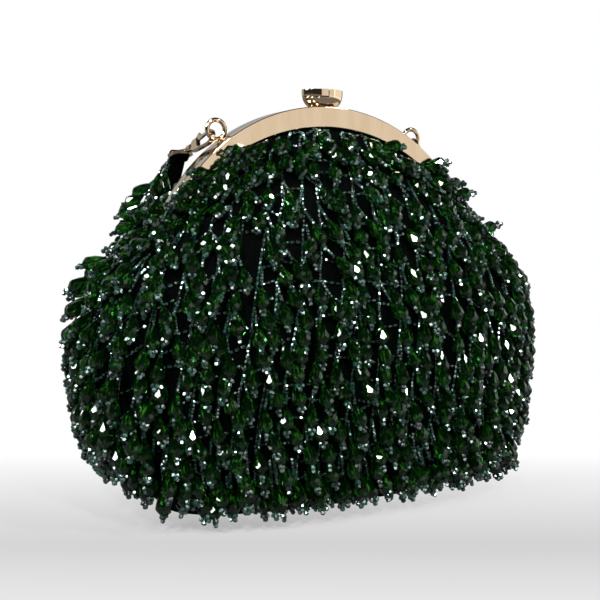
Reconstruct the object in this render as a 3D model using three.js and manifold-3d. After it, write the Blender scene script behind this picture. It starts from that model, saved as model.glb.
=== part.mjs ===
// A beaded evening purse: a soft cloth pouch on an arched kiss-lock frame, covered with a hanging
// fringe of glass drops, and a beaded handle strap clipped to two rings of the frame.
// Millimetres, +Z up, the front of the bag towards -Y, the base on the plane z = 0.

import * as THREE from "three";
import { mergeVertices } from "three/addons/utils/BufferGeometryUtils.js";
import Module from "manifold-3d";

const wasm = await Module();
wasm.setup();

const DEG = Math.PI / 180;

// Clearance between pieces that touch on the real bag
const GAP = 0.3;

// Frame: an arch of sheet metal in two halves that part on the plane y = 0
const ARCH_RADIUS = 87;
const ARCH_TOP = 180;
const ARCH_CENTRE = ARCH_TOP - ARCH_RADIUS;
const ARCH_HALF_ANGLE = 66.5 * DEG;
const ARCH_STEPS = 36;
const PLATE_WIDTH_TOP = 9.5;
const PLATE_WIDTH_END = 3;
const FRAME_HALF_DEPTH = 7;
const FRAME_SHEET = 1.4;

// Rings soldered on the back half, which hold the clasps of the handle
const RING_ANGLE = 35 * DEG;
const RING_RADIUS = 4.3;
const RING_WIRE = 1.05;
const RING_SINK = 0.6;
const RING_Y = 3.5;

// Rivets that join the halves near the ends of the arch
const RIVET_ANGLE = 62 * DEG;
const RIVET_RADIUS = 1.5;
const RIVET_HEAD_RADIUS = 2.8;
const RIVET_HEAD_HEIGHT = 1;

// Kiss lock: a bowl in two halves that overlap at mid height
const LOCK_FOOT_RADIUS = 7.2;
const LOCK_TOP_RADIUS = 9.9;
const LOCK_HEIGHT = 7.8;
const LOCK_SEAM_HEIGHT = 4.2;
const LOCK_DEPTH_RATIO = 0.62;

// Cloth outline from the mouth down to the base. A section is a loop round the bag: half width and
// height at the sides, half depth and height at mid front, how square the loop is, and how steeply it
// falls from mid front to the sides.
const POUCH_WALL = 2;
const POUCH_ROWS = [
  { sideX: 76, sideZ: 124.5, midY: 5.3, midZ: 174.5, square: 6, fall: 0.87 },
  { sideX: 79, sideZ: 120, midY: 5.3, midZ: 169.5, square: 6, fall: 0.87 },
  { sideX: 88, sideZ: 117.5, midY: 9.5, midZ: 163, square: 4, fall: 1.7 },
  { sideX: 99, sideZ: 110.5, midY: 21, midZ: 147, square: 2.9, fall: 1.6 },
  { sideX: 107, sideZ: 99, midY: 34, midZ: 123, square: 2.5, fall: 1.4 },
  { sideX: 111, sideZ: 84, midY: 42, midZ: 98, square: 2.4, fall: 1.2 },
  { sideX: 112, sideZ: 67, midY: 46, midZ: 74, square: 2.4, fall: 1 },
  { sideX: 110.5, sideZ: 52, midY: 46, midZ: 50, square: 2.4, fall: 1 },
  { sideX: 107, sideZ: 42, midY: 43.5, midZ: 25, square: 2.4, fall: 1 },
  { sideX: 97, sideZ: 19, midY: 38, midZ: 10, square: 2.4, fall: 1 },
  { sideX: 80, sideZ: 0, midY: 31, midZ: 0, square: 2.4, fall: 1 },
];
const POUCH_ARCH_POWER = 2.3;
const POUCH_LEVELS = [0, 1, 1.5, 2, 3, 4, 5, 6, 7, 8, 9, 10];
const POUCH_COLUMNS = 48;
const BELLY_ROW = 6;

// Fringe: rings of locks, each ring sewn on along one section of the pouch
const TIER_ROWS = [1.55, 2.6, 3.5, 4.4, 5.4, 6.6, 8];
const LAST_LOCK_LENGTH = 24;
const LOCK_OVERLAP = 1.15;
const NOTCH_SHARE = 0.6;
const FRINGE_FLOOR_CLEARANCE = 1.2;
// Distance of the inner and outer faces from the cloth, at the head, half way down and at the tip
const LOCK_FACES = [
  { inner: 0.45, outer: 1.7 },
  { inner: 1.6, outer: 6.4 },
  { inner: 4.4, outer: 6.2 },
];
const NOTCH_FACES = [
  { inner: 0.45, outer: 1.5 },
  { inner: 0.9, outer: 2.8 },
  { inner: 1.4, outer: 2.6 },
];

// Lobster clasp, in its own frame: u towards the nose, v towards the lever, w across
const CLAW_THICKNESS = 2.4;
const CLAW_BEVEL = 0.55;
const HOOK_INNER = 2.5;
const HOOK_OUTER = 4;
const CLAW_TAIL = -13;
const LEVER_PIVOT = { u: -9.8, v: 2 };
const LEVER_THICKNESS = 1;
const LEVER_SLOT = 1.5;
const PIN_RADIUS = 0.6;
const LEVER_HOLE_RADIUS = 0.85;
const BOSS_RADIUS = 1.9;
const BOSS_END = -15.4;
const BOSS_BORE = 1.25;
const POST_RADIUS = 0.95;
const EYE_BAR = -23;
const EYE_BAR_SIZE = 1.6;
const EYE_HALF_WIDTH = 5.9;

// Way of the clasps: from the ring to the eye on the left, and the turn of the claw about that line
const CLAW_WAY = new THREE.Vector3(-0.266, 0.913, -0.309).normalize();
const CLAW_TURN = 20 * DEG;

// Handle strap: half of its centre line from the left eye to the middle, with the way its width lies
const STRAP_WIDTH = 12;
const STRAP_THICKNESS = 2.6;
const STRAP_STEPS = 40;
const SLEEVE_HALF_WIDTH = 3.9;
const SLEEVE_INNER = 1.45;
const SLEEVE_OUTER = 2.7;
const STRAP_ROUTE = [
  { x: -65, y: 38, z: 132, widthX: 0.8, widthY: 0.6 },
  { x: -66, y: 51, z: 105, widthX: 0.55, widthY: 0.84 },
  { x: -57, y: 60, z: 78, widthX: 0.3, widthY: 0.95 },
  { x: -34, y: 63.5, z: 57, widthX: 0.12, widthY: 0.99 },
  { x: 0, y: 64, z: 49, widthX: 0, widthY: 1 },
];

// Fringe of the handle: a backing strip on the outside of the strap, and the locks that hang from it
const BACKING_WIDTH = 9;
const BACKING_THICKNESS = 1;
const BACKING_GAP = 0.7;
// Steps of the strap that stay bare at each end
const BACKING_TRIM = 3;
const HANDLE_LOCKS = 18;
const HANDLE_LOCK_LENGTH = 22;
const HANDLE_LOCK_ENDS = 0.1;
// Share of the lock's length, distance from the strap's face, half width and half thickness
const HANDLE_LOCK_SECTIONS = [
  { along: 0, off: 1.2, halfWidth: 2.6, halfThickness: 0.3 },
  { along: 0.5, off: 4, halfWidth: 3.8, halfThickness: 1.5 },
  { along: 0.85, off: 5.4, halfWidth: 3.2, halfThickness: 1.8 },
  { along: 1, off: 5.4, halfWidth: 0.8, halfThickness: 0.6 },
];

const MATERIALS = {
  gold: new THREE.MeshStandardMaterial({ color: 0xd9be98, roughness: 0.18, metalness: 1 }),
  cloth: new THREE.MeshStandardMaterial({ color: 0x12161b, roughness: 0.75, metalness: 0 }),
  beads: new THREE.MeshStandardMaterial({ color: 0x123d16, roughness: 0.12, metalness: 0 }),
};

const bag = new THREE.Group();

function addPiece(parent, name, geometry, material) {
  const mesh = new THREE.Mesh(geometry, material);
  mesh.name = name;
  parent.add(mesh);
  return mesh;
}

// Solids and booleans

function toSolid(geometry) {
  const bare = new THREE.BufferGeometry();
  bare.setAttribute("position", geometry.getAttribute("position").clone());
  bare.setIndex(geometry.getIndex());
  const merged = mergeVertices(bare, 1e-4);
  const index = Array.from(merged.getIndex().array);
  const triangles = [];
  for (let i = 0; i < index.length; i += 3) {
    const [a, b, c] = index.slice(i, i + 3);
    if (a !== b && b !== c && c !== a) {
      triangles.push(a, b, c);
    }
  }
  const mesh = new wasm.Mesh({
    numProp: 3,
    vertProperties: new Float32Array(merged.getAttribute("position").array),
    triVerts: new Uint32Array(triangles),
  });
  return new wasm.Manifold(mesh);
}

function toGeometry(solid) {
  const mesh = solid.getMesh();
  const geometry = new THREE.BufferGeometry();
  geometry.setAttribute("position", new THREE.BufferAttribute(new Float32Array(mesh.vertProperties), 3));
  geometry.setIndex(new THREE.BufferAttribute(new Uint32Array(mesh.triVerts), 1));
  geometry.computeVertexNormals();
  return geometry;
}

function fuse(geometries) {
  return geometries.map(toSolid).reduce((whole, next) => whole.add(next));
}

function signedVolume(points, triangles) {
  const normal = new THREE.Vector3();
  let volume = 0;
  for (let i = 0; i < triangles.length; i += 3) {
    const [a, b, c] = triangles.slice(i, i + 3).map((k) => points[k]);
    volume += a.dot(normal.crossVectors(b, c)) / 6;
  }
  return volume;
}

// A closed solid through loops of equally many points, joined end to end or capped at both ends
function loftSolid(loops, joined) {
  const count = loops[0].length;
  const points = loops.flat();
  const triangles = [];
  const bands = joined ? loops.length : loops.length - 1;
  for (let band = 0; band < bands; band += 1) {
    const near = band * count;
    const far = ((band + 1) % loops.length) * count;
    for (let k = 0; k < count; k += 1) {
      const next = (k + 1) % count;
      triangles.push(near + k, near + next, far + next, near + k, far + next, far + k);
    }
  }
  if (!joined) {
    const ends = [{ start: 0, turn: -1 }, { start: (loops.length - 1) * count, turn: 1 }];
    for (const { start, turn } of ends) {
      const middle = points.length;
      const sum = new THREE.Vector3();
      for (let k = 0; k < count; k += 1) {
        sum.add(points[start + k]);
      }
      points.push(sum.divideScalar(count));
      for (let k = 0; k < count; k += 1) {
        const next = (k + 1) % count;
        const edge = turn > 0 ? [start + k, start + next] : [start + next, start + k];
        triangles.push(middle, ...edge);
      }
    }
  }
  if (signedVolume(points, triangles) < 0) {
    triangles.reverse();
  }
  const geometry = new THREE.BufferGeometry().setFromPoints(points);
  geometry.setIndex(triangles);
  geometry.computeVertexNormals();
  return geometry;
}

// Pouch

function pouchRow(row) {
  const last = POUCH_ROWS.length - 1;
  const at = Math.min(Math.max(row, 0), last);
  const below = Math.min(Math.floor(at), last - 1);
  const share = at - below;
  const around = [below - 1, below, below + 1, below + 2].map((k) => {
    return POUCH_ROWS[Math.min(Math.max(k, 0), last)];
  });
  const blend = (column) => {
    const [a, b, c, d] = around.map((section) => section[column]);
    const slopeB = (c - a) / 2;
    const slopeC = (d - b) / 2;
    const cubic = 2 * b - 2 * c + slopeB + slopeC;
    const square = 3 * c - 3 * b - 2 * slopeB - slopeC;
    return ((cubic * share + square) * share + slopeB) * share + b;
  };
  return Object.fromEntries(Object.keys(POUCH_ROWS[0]).map((column) => [column, blend(column)]));
}

function pouchPoint(row, angle) {
  const section = pouchRow(row);
  const across = Math.cos(angle);
  const width = Math.min(Math.abs(across), 1);
  const depth = Math.pow(1 - Math.pow(width, section.square), 1 / section.square);
  const rise = Math.pow(1 - Math.pow(width, POUCH_ARCH_POWER), section.fall);
  return new THREE.Vector3(
    section.sideX * across,
    Math.sign(Math.sin(angle)) * section.midY * depth,
    section.sideZ + (section.midZ - section.sideZ) * rise,
  );
}

function pouchNormal(row, angle) {
  const step = 1e-3;
  const down = pouchPoint(row + step, angle).sub(pouchPoint(row - step, angle));
  const round = pouchPoint(row, angle + step).sub(pouchPoint(row, angle - step));
  return down.cross(round).normalize();
}

// Angles that divide the belly into equal lengths
function evenAngles(count) {
  const samples = 2000;
  const lengths = [0];
  for (let k = 1; k <= samples; k += 1) {
    const a = pouchPoint(BELLY_ROW, (2 * Math.PI * (k - 1)) / samples);
    const b = pouchPoint(BELLY_ROW, (2 * Math.PI * k) / samples);
    lengths.push(lengths[k - 1] + a.distanceTo(b));
  }
  const angles = [];
  let k = 0;
  for (let i = 0; i < count; i += 1) {
    const goal = (lengths[samples] * i) / count;
    while (lengths[k + 1] < goal) {
      k += 1;
    }
    const share = (goal - lengths[k]) / (lengths[k + 1] - lengths[k]);
    angles.push((2 * Math.PI * (k + share)) / samples);
  }
  return angles;
}

const COLUMN_ANGLES = evenAngles(POUCH_COLUMNS);

function pouchLoop(row, inward) {
  return COLUMN_ANGLES.map((angle) => {
    const point = pouchPoint(row, angle).addScaledVector(pouchNormal(row, angle), -inward);
    return inward > 0 ? point.setZ(Math.max(point.z, inward)) : point;
  });
}

function buildPouch() {
  const outside = POUCH_LEVELS.map((row) => pouchLoop(row, 0)).reverse();
  const inside = POUCH_LEVELS.map((row) => pouchLoop(row, POUCH_WALL));
  inside[inside.length - 1].forEach((point) => point.setZ(POUCH_WALL));
  addPiece(bag, "pouch", loftSolid([...outside, ...inside], false), MATERIALS.cloth);
}

// Fringe of the pouch

// The way of a strand sewn on at one row: it lies on the cloth while the cloth leads outwards, then
// hangs straight down
function hangWay(row, angle, length) {
  const rowStep = 0.02;
  const drop = 0.5;
  const place = pouchPoint(row, angle);
  const out = pouchNormal(row, angle);
  const way = [{ along: 0, point: place.clone(), out: out.clone() }];
  let at = row;
  let along = 0;
  let hanging = false;
  while (along < length) {
    const next = pouchPoint(at + rowStep, angle);
    const move = next.clone().sub(place);
    hanging = hanging || move.x * out.x + move.y * out.y <= 0;
    if (hanging) {
      along += drop;
      place.z -= drop;
      out.setZ(0).normalize();
    } else {
      along += move.length();
      place.copy(next);
      at += rowStep;
      out.copy(pouchNormal(at, angle));
    }
    way.push({ along, point: place.clone(), out: out.clone() });
  }
  return way;
}

function hangPoint(way, along, off) {
  const k = Math.max(way.findIndex((stop) => stop.along >= along), 1);
  const [a, b] = [way[k - 1], way[k]];
  const share = (along - a.along) / (b.along - a.along);
  const point = a.point.clone().lerp(b.point, share);
  const out = a.out.clone().lerp(b.out, share).normalize();
  return point.addScaledVector(out, off);
}

function lockLength(tier, angle) {
  const row = TIER_ROWS[tier];
  const room = pouchPoint(row, angle).z - FRINGE_FLOOR_CLEARANCE;
  if (tier === TIER_ROWS.length - 1) {
    return Math.min(LAST_LOCK_LENGTH, room);
  }
  const steps = 10;
  const span = TIER_ROWS[tier + 1] - row;
  let length = 0;
  for (let k = 0; k < steps; k += 1) {
    const a = pouchPoint(row + (span * k) / steps, angle);
    const b = pouchPoint(row + (span * (k + 1)) / steps, angle);
    length += a.distanceTo(b);
  }
  return Math.min(length * LOCK_OVERLAP, room);
}

function tierColumn(tier, column) {
  const angle = COLUMN_ANGLES[column];
  const isLock = (column + tier) % 2 === 0;
  const faces = isLock ? LOCK_FACES : NOTCH_FACES;
  const length = lockLength(tier, angle) * (isLock ? 1 : NOTCH_SHARE);
  const way = hangWay(TIER_ROWS[tier], angle, length);
  const places = faces.map((face, k) => (length * k) / (faces.length - 1));
  const outer = faces.map((face, k) => hangPoint(way, places[k], face.outer));
  const inner = faces.map((face, k) => hangPoint(way, places[k], face.inner));
  return [...outer, ...inner.reverse()];
}

function buildFringe() {
  TIER_ROWS.forEach((row, tier) => {
    const columns = COLUMN_ANGLES.map((angle, column) => tierColumn(tier, column));
    addPiece(bag, `fringe_tier_${tier + 1}`, loftSolid(columns, true), MATERIALS.beads);
  });
}

// Frame

function archPoint(radius, angle, y) {
  return new THREE.Vector3(radius * Math.sin(angle), y, ARCH_CENTRE + radius * Math.cos(angle));
}

// A band under the arch, drawn in the X-Z plane and given its depth along -Y
function archBand(widthAt, depth) {
  const outline = [];
  for (let k = 0; k <= ARCH_STEPS; k += 1) {
    const angle = ARCH_HALF_ANGLE * ((2 * k) / ARCH_STEPS - 1);
    const point = archPoint(ARCH_RADIUS, angle, 0);
    outline.push(new THREE.Vector2(point.x, point.z));
  }
  for (let k = ARCH_STEPS; k >= 0; k -= 1) {
    const angle = ARCH_HALF_ANGLE * ((2 * k) / ARCH_STEPS - 1);
    const point = archPoint(ARCH_RADIUS - widthAt(angle), angle, 0);
    outline.push(new THREE.Vector2(point.x, point.z));
  }
  const shape = new THREE.Shape(outline);
  return new THREE.ExtrudeGeometry(shape, { depth, bevelEnabled: false }).rotateX(Math.PI / 2);
}

function plateWidth(angle) {
  const share = angle / ARCH_HALF_ANGLE;
  return PLATE_WIDTH_TOP + (PLATE_WIDTH_END - PLATE_WIDTH_TOP) * share * share;
}

function alongRadius(geometry, side) {
  geometry.rotateX(Math.PI / 2);
  geometry.rotateY(side * RIVET_ANGLE);
  const middle = archPoint(ARCH_RADIUS - FRAME_SHEET / 2, side * RIVET_ANGLE, 0);
  return geometry.translate(middle.x, middle.y, middle.z);
}

function frameHalf() {
  const plate = archBand(plateWidth, FRAME_SHEET).translate(0, FRAME_SHEET - FRAME_HALF_DEPTH, 0);
  const flange = archBand(() => FRAME_SHEET, FRAME_HALF_DEPTH - GAP / 2).translate(0, -GAP / 2, 0);
  let half = fuse([plate, flange]);
  for (const side of [-1, 1]) {
    const hole = new THREE.CylinderGeometry(RIVET_RADIUS + GAP, RIVET_RADIUS + GAP, 8, 12);
    half = half.subtract(toSolid(alongRadius(hole, side)));
  }
  return half;
}

function ringCentre(side) {
  const radius = ARCH_RADIUS + RING_RADIUS + RING_WIRE - RING_SINK;
  return archPoint(radius, side * RING_ANGLE, RING_Y);
}

function buildFrame() {
  addPiece(bag, "frame_front", toGeometry(frameHalf()), MATERIALS.gold);
  let back = toSolid(toGeometry(frameHalf()).rotateZ(Math.PI));
  for (const side of [-1, 1]) {
    const centre = ringCentre(side);
    const ring = new THREE.TorusGeometry(RING_RADIUS, RING_WIRE, 6, 16).rotateX(Math.PI / 2);
    back = back.add(toSolid(ring.translate(centre.x, centre.y, centre.z)));
  }
  addPiece(bag, "frame_back", toGeometry(back), MATERIALS.gold);
}

function buildRivets() {
  const shank = FRAME_SHEET / 2 + GAP;
  const end = shank + RIVET_HEAD_HEIGHT;
  const profile = [
    new THREE.Vector2(0, -end),
    new THREE.Vector2(RIVET_HEAD_RADIUS, -end),
    new THREE.Vector2(RIVET_HEAD_RADIUS, -shank),
    new THREE.Vector2(RIVET_RADIUS, -shank),
    new THREE.Vector2(RIVET_RADIUS, shank),
    new THREE.Vector2(RIVET_HEAD_RADIUS, shank),
    new THREE.Vector2(RIVET_HEAD_RADIUS * 0.7, end),
    new THREE.Vector2(0, end),
  ];
  for (const [name, side] of [["left", -1], ["right", 1]]) {
    const rivet = alongRadius(new THREE.LatheGeometry(profile, 12), side);
    addPiece(bag, `${name}_hinge_rivet`, toGeometry(toSolid(rivet)), MATERIALS.gold);
  }
}

// Kiss lock

function lockBowl() {
  const profile = [
    new THREE.Vector2(0, 0),
    new THREE.Vector2(LOCK_FOOT_RADIUS, 0),
    new THREE.Vector2(LOCK_FOOT_RADIUS + 0.6 * (LOCK_TOP_RADIUS - LOCK_FOOT_RADIUS), LOCK_HEIGHT * 0.35),
    new THREE.Vector2(LOCK_FOOT_RADIUS + 0.92 * (LOCK_TOP_RADIUS - LOCK_FOOT_RADIUS), LOCK_HEIGHT * 0.7),
    new THREE.Vector2(LOCK_TOP_RADIUS, LOCK_HEIGHT),
    new THREE.Vector2(0, LOCK_HEIGHT),
  ];
  const bowl = new THREE.LatheGeometry(profile, 24).rotateX(Math.PI / 2).scale(1, LOCK_DEPTH_RATIO, 1);
  return toSolid(bowl.translate(0, 0, ARCH_TOP + GAP));
}

function boxBetween(low, high) {
  const size = high.clone().sub(low);
  const middle = high.clone().add(low).multiplyScalar(0.5);
  return new THREE.BoxGeometry(size.x, size.y, size.z).translate(middle.x, middle.y, middle.z);
}

// Each half stands on its own side of the frame and reaches over the other half's foot
function buildKissLock() {
  const reach = 2 * LOCK_TOP_RADIUS;
  const low = ARCH_TOP;
  const high = ARCH_TOP + 2 * LOCK_HEIGHT;
  const seam = ARCH_TOP + GAP + LOCK_SEAM_HEIGHT;
  const clear = GAP / 2;
  const room = [
    boxBetween(new THREE.Vector3(clear, -reach, low), new THREE.Vector3(reach, -clear, high)),
    boxBetween(new THREE.Vector3(clear, -reach, seam + clear), new THREE.Vector3(reach, reach, high)),
    boxBetween(new THREE.Vector3(-reach, -reach, low), new THREE.Vector3(reach, -clear, seam - clear)),
  ];
  const front = toGeometry(lockBowl().intersect(fuse(room)));
  addPiece(bag, "kiss_lock_front", front, MATERIALS.gold);
  addPiece(bag, "kiss_lock_back", front.clone().rotateZ(Math.PI), MATERIALS.gold);
}

// Lobster clasps

function extrudeAcross(shape, thickness, bevel) {
  const geometry = new THREE.ExtrudeGeometry(shape, {
    depth: thickness - 2 * bevel,
    bevelEnabled: bevel > 0,
    bevelSize: bevel,
    bevelOffset: -bevel,
    bevelThickness: bevel,
    bevelSegments: 1,
    curveSegments: 6,
  });
  return geometry.translate(0, 0, bevel - thickness / 2);
}

function polygon(points) {
  return new THREE.Shape(points.map(([u, v]) => new THREE.Vector2(u, v)));
}

function alongU(radius, from, to, sides) {
  const bar = new THREE.CylinderGeometry(radius, radius, to - from, sides).rotateZ(Math.PI / 2);
  return bar.translate((from + to) / 2, 0, 0);
}

function acrossW(radius, length, sides, u, v) {
  return new THREE.CylinderGeometry(radius, radius, length, sides).rotateX(Math.PI / 2).translate(u, v, 0);
}

function clawGeometry() {
  const outline = new THREE.Shape();
  outline.moveTo(0, HOOK_OUTER);
  outline.absarc(0, 0, HOOK_OUTER, 90 * DEG, -90 * DEG, true);
  outline.lineTo(-8, -3.7);
  outline.quadraticCurveTo(-11.5, -3.3, CLAW_TAIL, -1.8);
  outline.lineTo(CLAW_TAIL, 1.8);
  outline.lineTo(-11.6, 3.5);
  outline.lineTo(-8.4, 3.5);
  outline.lineTo(-7.4, 0.6);
  outline.quadraticCurveTo(-7, -1.8, -5.5, -2.3);
  outline.lineTo(0, -HOOK_INNER);
  outline.absarc(0, 0, HOOK_INNER, -90 * DEG, 90 * DEG, false);
  const body = extrudeAcross(outline, CLAW_THICKNESS, CLAW_BEVEL);
  const boss = alongU(BOSS_RADIUS, BOSS_END, CLAW_TAIL + 0.4, 10);
  const slotLow = new THREE.Vector3(-12, -2, -LEVER_SLOT / 2);
  const slot = boxBetween(slotLow, new THREE.Vector3(-4.6, 8, LEVER_SLOT / 2));
  const bore = alongU(BOSS_BORE, BOSS_END - 0.1, BOSS_END + 1.8, 10);
  const pin = acrossW(PIN_RADIUS, CLAW_THICKNESS, 10, LEVER_PIVOT.u, LEVER_PIVOT.v);
  const claw = fuse([body, boss]).subtract(toSolid(slot)).subtract(toSolid(bore));
  return toGeometry(claw.add(toSolid(pin)));
}

// The lever, drawn about its pivot
function leverGeometry() {
  const outline = [
    [-0.35, 2.6], [-0.35, 3.9], [-6.2, 4], [-7.3, 4.7], [-7.6, 5.7], [-8.5, 5.9], [-9, 4.8],
    [-10.4, 3.35], [-11.15, 2], [-10.4, 0.85], [-9.3, 0.75], [-7.2, 1.7], [-3.6, 2.5],
  ];
  const { u, v } = LEVER_PIVOT;
  const shape = polygon(outline.map(([x, y]) => [x - u, y - v]));
  const hole = new THREE.Path().absarc(0, 0, LEVER_HOLE_RADIUS, 0, 2 * Math.PI, true);
  shape.holes.push(hole);
  return extrudeAcross(shape, LEVER_THICKNESS, 0);
}

function eyeGeometry() {
  const half = EYE_BAR_SIZE / 2;
  const end = EYE_BAR - half;
  const opening = EYE_HALF_WIDTH - 1.5;
  const shape = polygon([
    [-16, 1.7], [-18, 3.9], [-19.8, EYE_HALF_WIDTH], [end, EYE_HALF_WIDTH],
    [end, -EYE_HALF_WIDTH], [-19.8, -EYE_HALF_WIDTH], [-18, -3.9], [-16, -1.7],
  ]);
  const hole = [
    [-17.8, 1.9], [-20.2, opening], [EYE_BAR + half, opening],
    [EYE_BAR + half, -opening], [-20.2, -opening], [-17.8, -1.9],
  ];
  shape.holes.push(new THREE.Path(hole.map(([u, v]) => new THREE.Vector2(u, v))));
  const plate = extrudeAcross(shape, EYE_BAR_SIZE, 0);
  const post = alongU(POST_RADIUS, -16.4, BOSS_END + 1.5, 10);
  return toGeometry(fuse([plate, post]));
}

// Axes of the clasp on one side: the way from ring to eye is mirrored, and the lever lies up and back
function claspAxes(side) {
  const way = new THREE.Vector3(-side * CLAW_WAY.x, CLAW_WAY.y, CLAW_WAY.z);
  const wire = new THREE.Vector3(way.z, 0, -way.x).normalize();
  const flat = new THREE.Vector3().crossVectors(way, wire);
  const lever = flat.y > 0 ? flat : flat.negate();
  const rise = wire.z > 0 ? wire : wire.clone().negate();
  const v = lever.clone().multiplyScalar(Math.cos(CLAW_TURN)).addScaledVector(rise, Math.sin(CLAW_TURN));
  const u = way.clone().negate();
  const pull = new THREE.Vector3(way.x, 0, way.z).normalize();
  const hookRoom = HOOK_INNER - RING_WIRE - GAP;
  const nose = ringCentre(side).addScaledVector(pull, RING_RADIUS).addScaledVector(u, -hookRoom);
  return { nose, u, v, w: new THREE.Vector3().crossVectors(u, v) };
}

function strapStart(side) {
  const first = STRAP_ROUTE[0];
  const goal = new THREE.Vector3(side < 0 ? first.x : -first.x, first.y, first.z);
  const { nose, u } = claspAxes(side);
  const bar = nose.clone().addScaledVector(u, EYE_BAR);
  const way = goal.clone().sub(bar).normalize();
  const width = new THREE.Vector3().crossVectors(u, way).normalize();
  return { bar, way, width: width.y < 0 ? width.negate() : width };
}

function buildClasp(name, side) {
  const { nose, u, v, w } = claspAxes(side);
  const clasp = new THREE.Group();
  clasp.position.copy(nose);
  clasp.quaternion.setFromRotationMatrix(new THREE.Matrix4().makeBasis(u, v, w));
  bag.add(clasp);
  addPiece(clasp, `${name}_claw`, clawGeometry(), MATERIALS.gold);
  const lever = addPiece(clasp, `${name}_lever`, leverGeometry(), MATERIALS.gold);
  lever.position.set(LEVER_PIVOT.u, LEVER_PIVOT.v, 0);
  const eye = addPiece(clasp, `${name}_swivel_eye`, eyeGeometry(), MATERIALS.gold);
  const { width } = strapStart(side);
  eye.rotation.x = Math.atan2(width.dot(w), width.dot(v));
}

// Handle strap and its fringe

function strapStops() {
  const left = strapStart(-1);
  const clear = (SLEEVE_INNER + SLEEVE_OUTER) / 2;
  const first = {
    point: left.bar.clone().addScaledVector(left.way, clear),
    width: left.width,
  };
  const half = STRAP_ROUTE.map((stop) => ({
    point: new THREE.Vector3(stop.x, stop.y, stop.z),
    width: new THREE.Vector3(stop.widthX, stop.widthY, 0).normalize(),
  }));
  const stops = [first, ...half];
  const mirrored = stops.slice(0, -1).reverse().map((stop) => ({
    point: new THREE.Vector3(-stop.point.x, stop.point.y, stop.point.z),
    width: new THREE.Vector3(-stop.width.x, stop.width.y, -stop.width.z),
  }));
  return [...stops, ...mirrored];
}

const STRAP_STOPS = strapStops();
const STRAP_CURVE = new THREE.CatmullRomCurve3(STRAP_STOPS.map((stop) => stop.point), false, "centripetal");
const STRAP_TURN = new THREE.CatmullRomCurve3(STRAP_STOPS.map((stop) => stop.width), false, "centripetal");

// Place, tangent, width and outward face of the strap at a share of its length
function strapAt(share) {
  const t = STRAP_CURVE.getUtoTmapping(share);
  const tangent = STRAP_CURVE.getTangent(t);
  const width = STRAP_TURN.getPoint(t);
  width.addScaledVector(tangent, -width.dot(tangent)).normalize();
  const out = new THREE.Vector3().crossVectors(width, tangent);
  return { point: STRAP_CURVE.getPoint(t), tangent, width, out };
}

function strapSection(share, halfWidth, near, far) {
  const { point, width, out } = strapAt(share);
  return [[-halfWidth, near], [halfWidth, near], [halfWidth, far], [-halfWidth, far]].map(([across, off]) => {
    return point.clone().addScaledVector(width, across).addScaledVector(out, off);
  });
}

function sweepStrap(trim, halfWidthAt, near, far) {
  const loops = [];
  for (let k = trim; k <= STRAP_STEPS - trim; k += 1) {
    const share = k / STRAP_STEPS;
    loops.push(strapSection(share, halfWidthAt(share), near, far));
  }
  return loftSolid(loops, false);
}

function strapHalfWidth(share) {
  const taper = 0.07;
  const nearest = Math.min(share, 1 - share);
  const full = Math.min(nearest / taper, 1);
  return SLEEVE_HALF_WIDTH + (STRAP_WIDTH / 2 - SLEEVE_HALF_WIDTH) * full;
}

// The sewn loop at the strap's end, round the bar of the eye
function sleeveSolid(side) {
  const { bar, width } = strapStart(side);
  const turn = new THREE.Quaternion().setFromUnitVectors(new THREE.Vector3(0, 1, 0), width);
  const tube = (radius, length) => {
    const cylinder = new THREE.CylinderGeometry(radius, radius, length, 12).applyQuaternion(turn);
    return toSolid(cylinder.translate(bar.x, bar.y, bar.z));
  };
  const outside = tube(SLEEVE_OUTER, 2 * SLEEVE_HALF_WIDTH);
  return { outside, bore: tube(SLEEVE_INNER, 4 * SLEEVE_HALF_WIDTH) };
}

function buildStrap() {
  const half = STRAP_THICKNESS / 2;
  let strap = toSolid(sweepStrap(0, strapHalfWidth, -half, half));
  for (const side of [-1, 1]) {
    const { outside, bore } = sleeveSolid(side);
    strap = strap.add(outside).subtract(bore);
  }
  addPiece(bag, "handle_strap", toGeometry(strap), MATERIALS.cloth);
}

// A lock hangs down from the strap's outside face, and lies on that face where it looks up
function handleLock(share) {
  const { point, tangent, width, out } = strapAt(share);
  const fall = new THREE.Vector3(0, 0, -1);
  fall.addScaledVector(out, -Math.min(fall.dot(out), 0)).normalize();
  const across = Math.abs(fall.dot(tangent)) > 0.5 ? width : tangent;
  const side = across.clone().addScaledVector(fall, -across.dot(fall)).normalize();
  const thick = new THREE.Vector3().crossVectors(side, fall);
  const face = STRAP_THICKNESS / 2;
  const loops = HANDLE_LOCK_SECTIONS.map(({ along, off, halfWidth, halfThickness }) => {
    const middle = point.clone().addScaledVector(out, face + off);
    middle.addScaledVector(fall, along * HANDLE_LOCK_LENGTH);
    return [[-halfWidth, 0], [0, -halfThickness], [halfWidth, 0], [0, halfThickness]].map(([a, b]) => {
      return middle.clone().addScaledVector(side, a).addScaledVector(thick, b);
    });
  });
  return loftSolid(loops, false);
}

function buildHandleFringe() {
  const near = STRAP_THICKNESS / 2 + BACKING_GAP;
  const backing = sweepStrap(BACKING_TRIM, () => BACKING_WIDTH / 2, near, near + BACKING_THICKNESS);
  const locks = [];
  for (let k = 0; k < HANDLE_LOCKS; k += 1) {
    const share = HANDLE_LOCK_ENDS + ((1 - 2 * HANDLE_LOCK_ENDS) * k) / (HANDLE_LOCKS - 1);
    locks.push(handleLock(share));
  }
  addPiece(bag, "handle_fringe", toGeometry(fuse([backing, ...locks])), MATERIALS.beads);
}

buildPouch();
buildFringe();
buildFrame();
buildRivets();
buildKissLock();
buildClasp("left", -1);
buildClasp("right", 1);
buildStrap();
buildHandleFringe();

export default bag;
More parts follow.
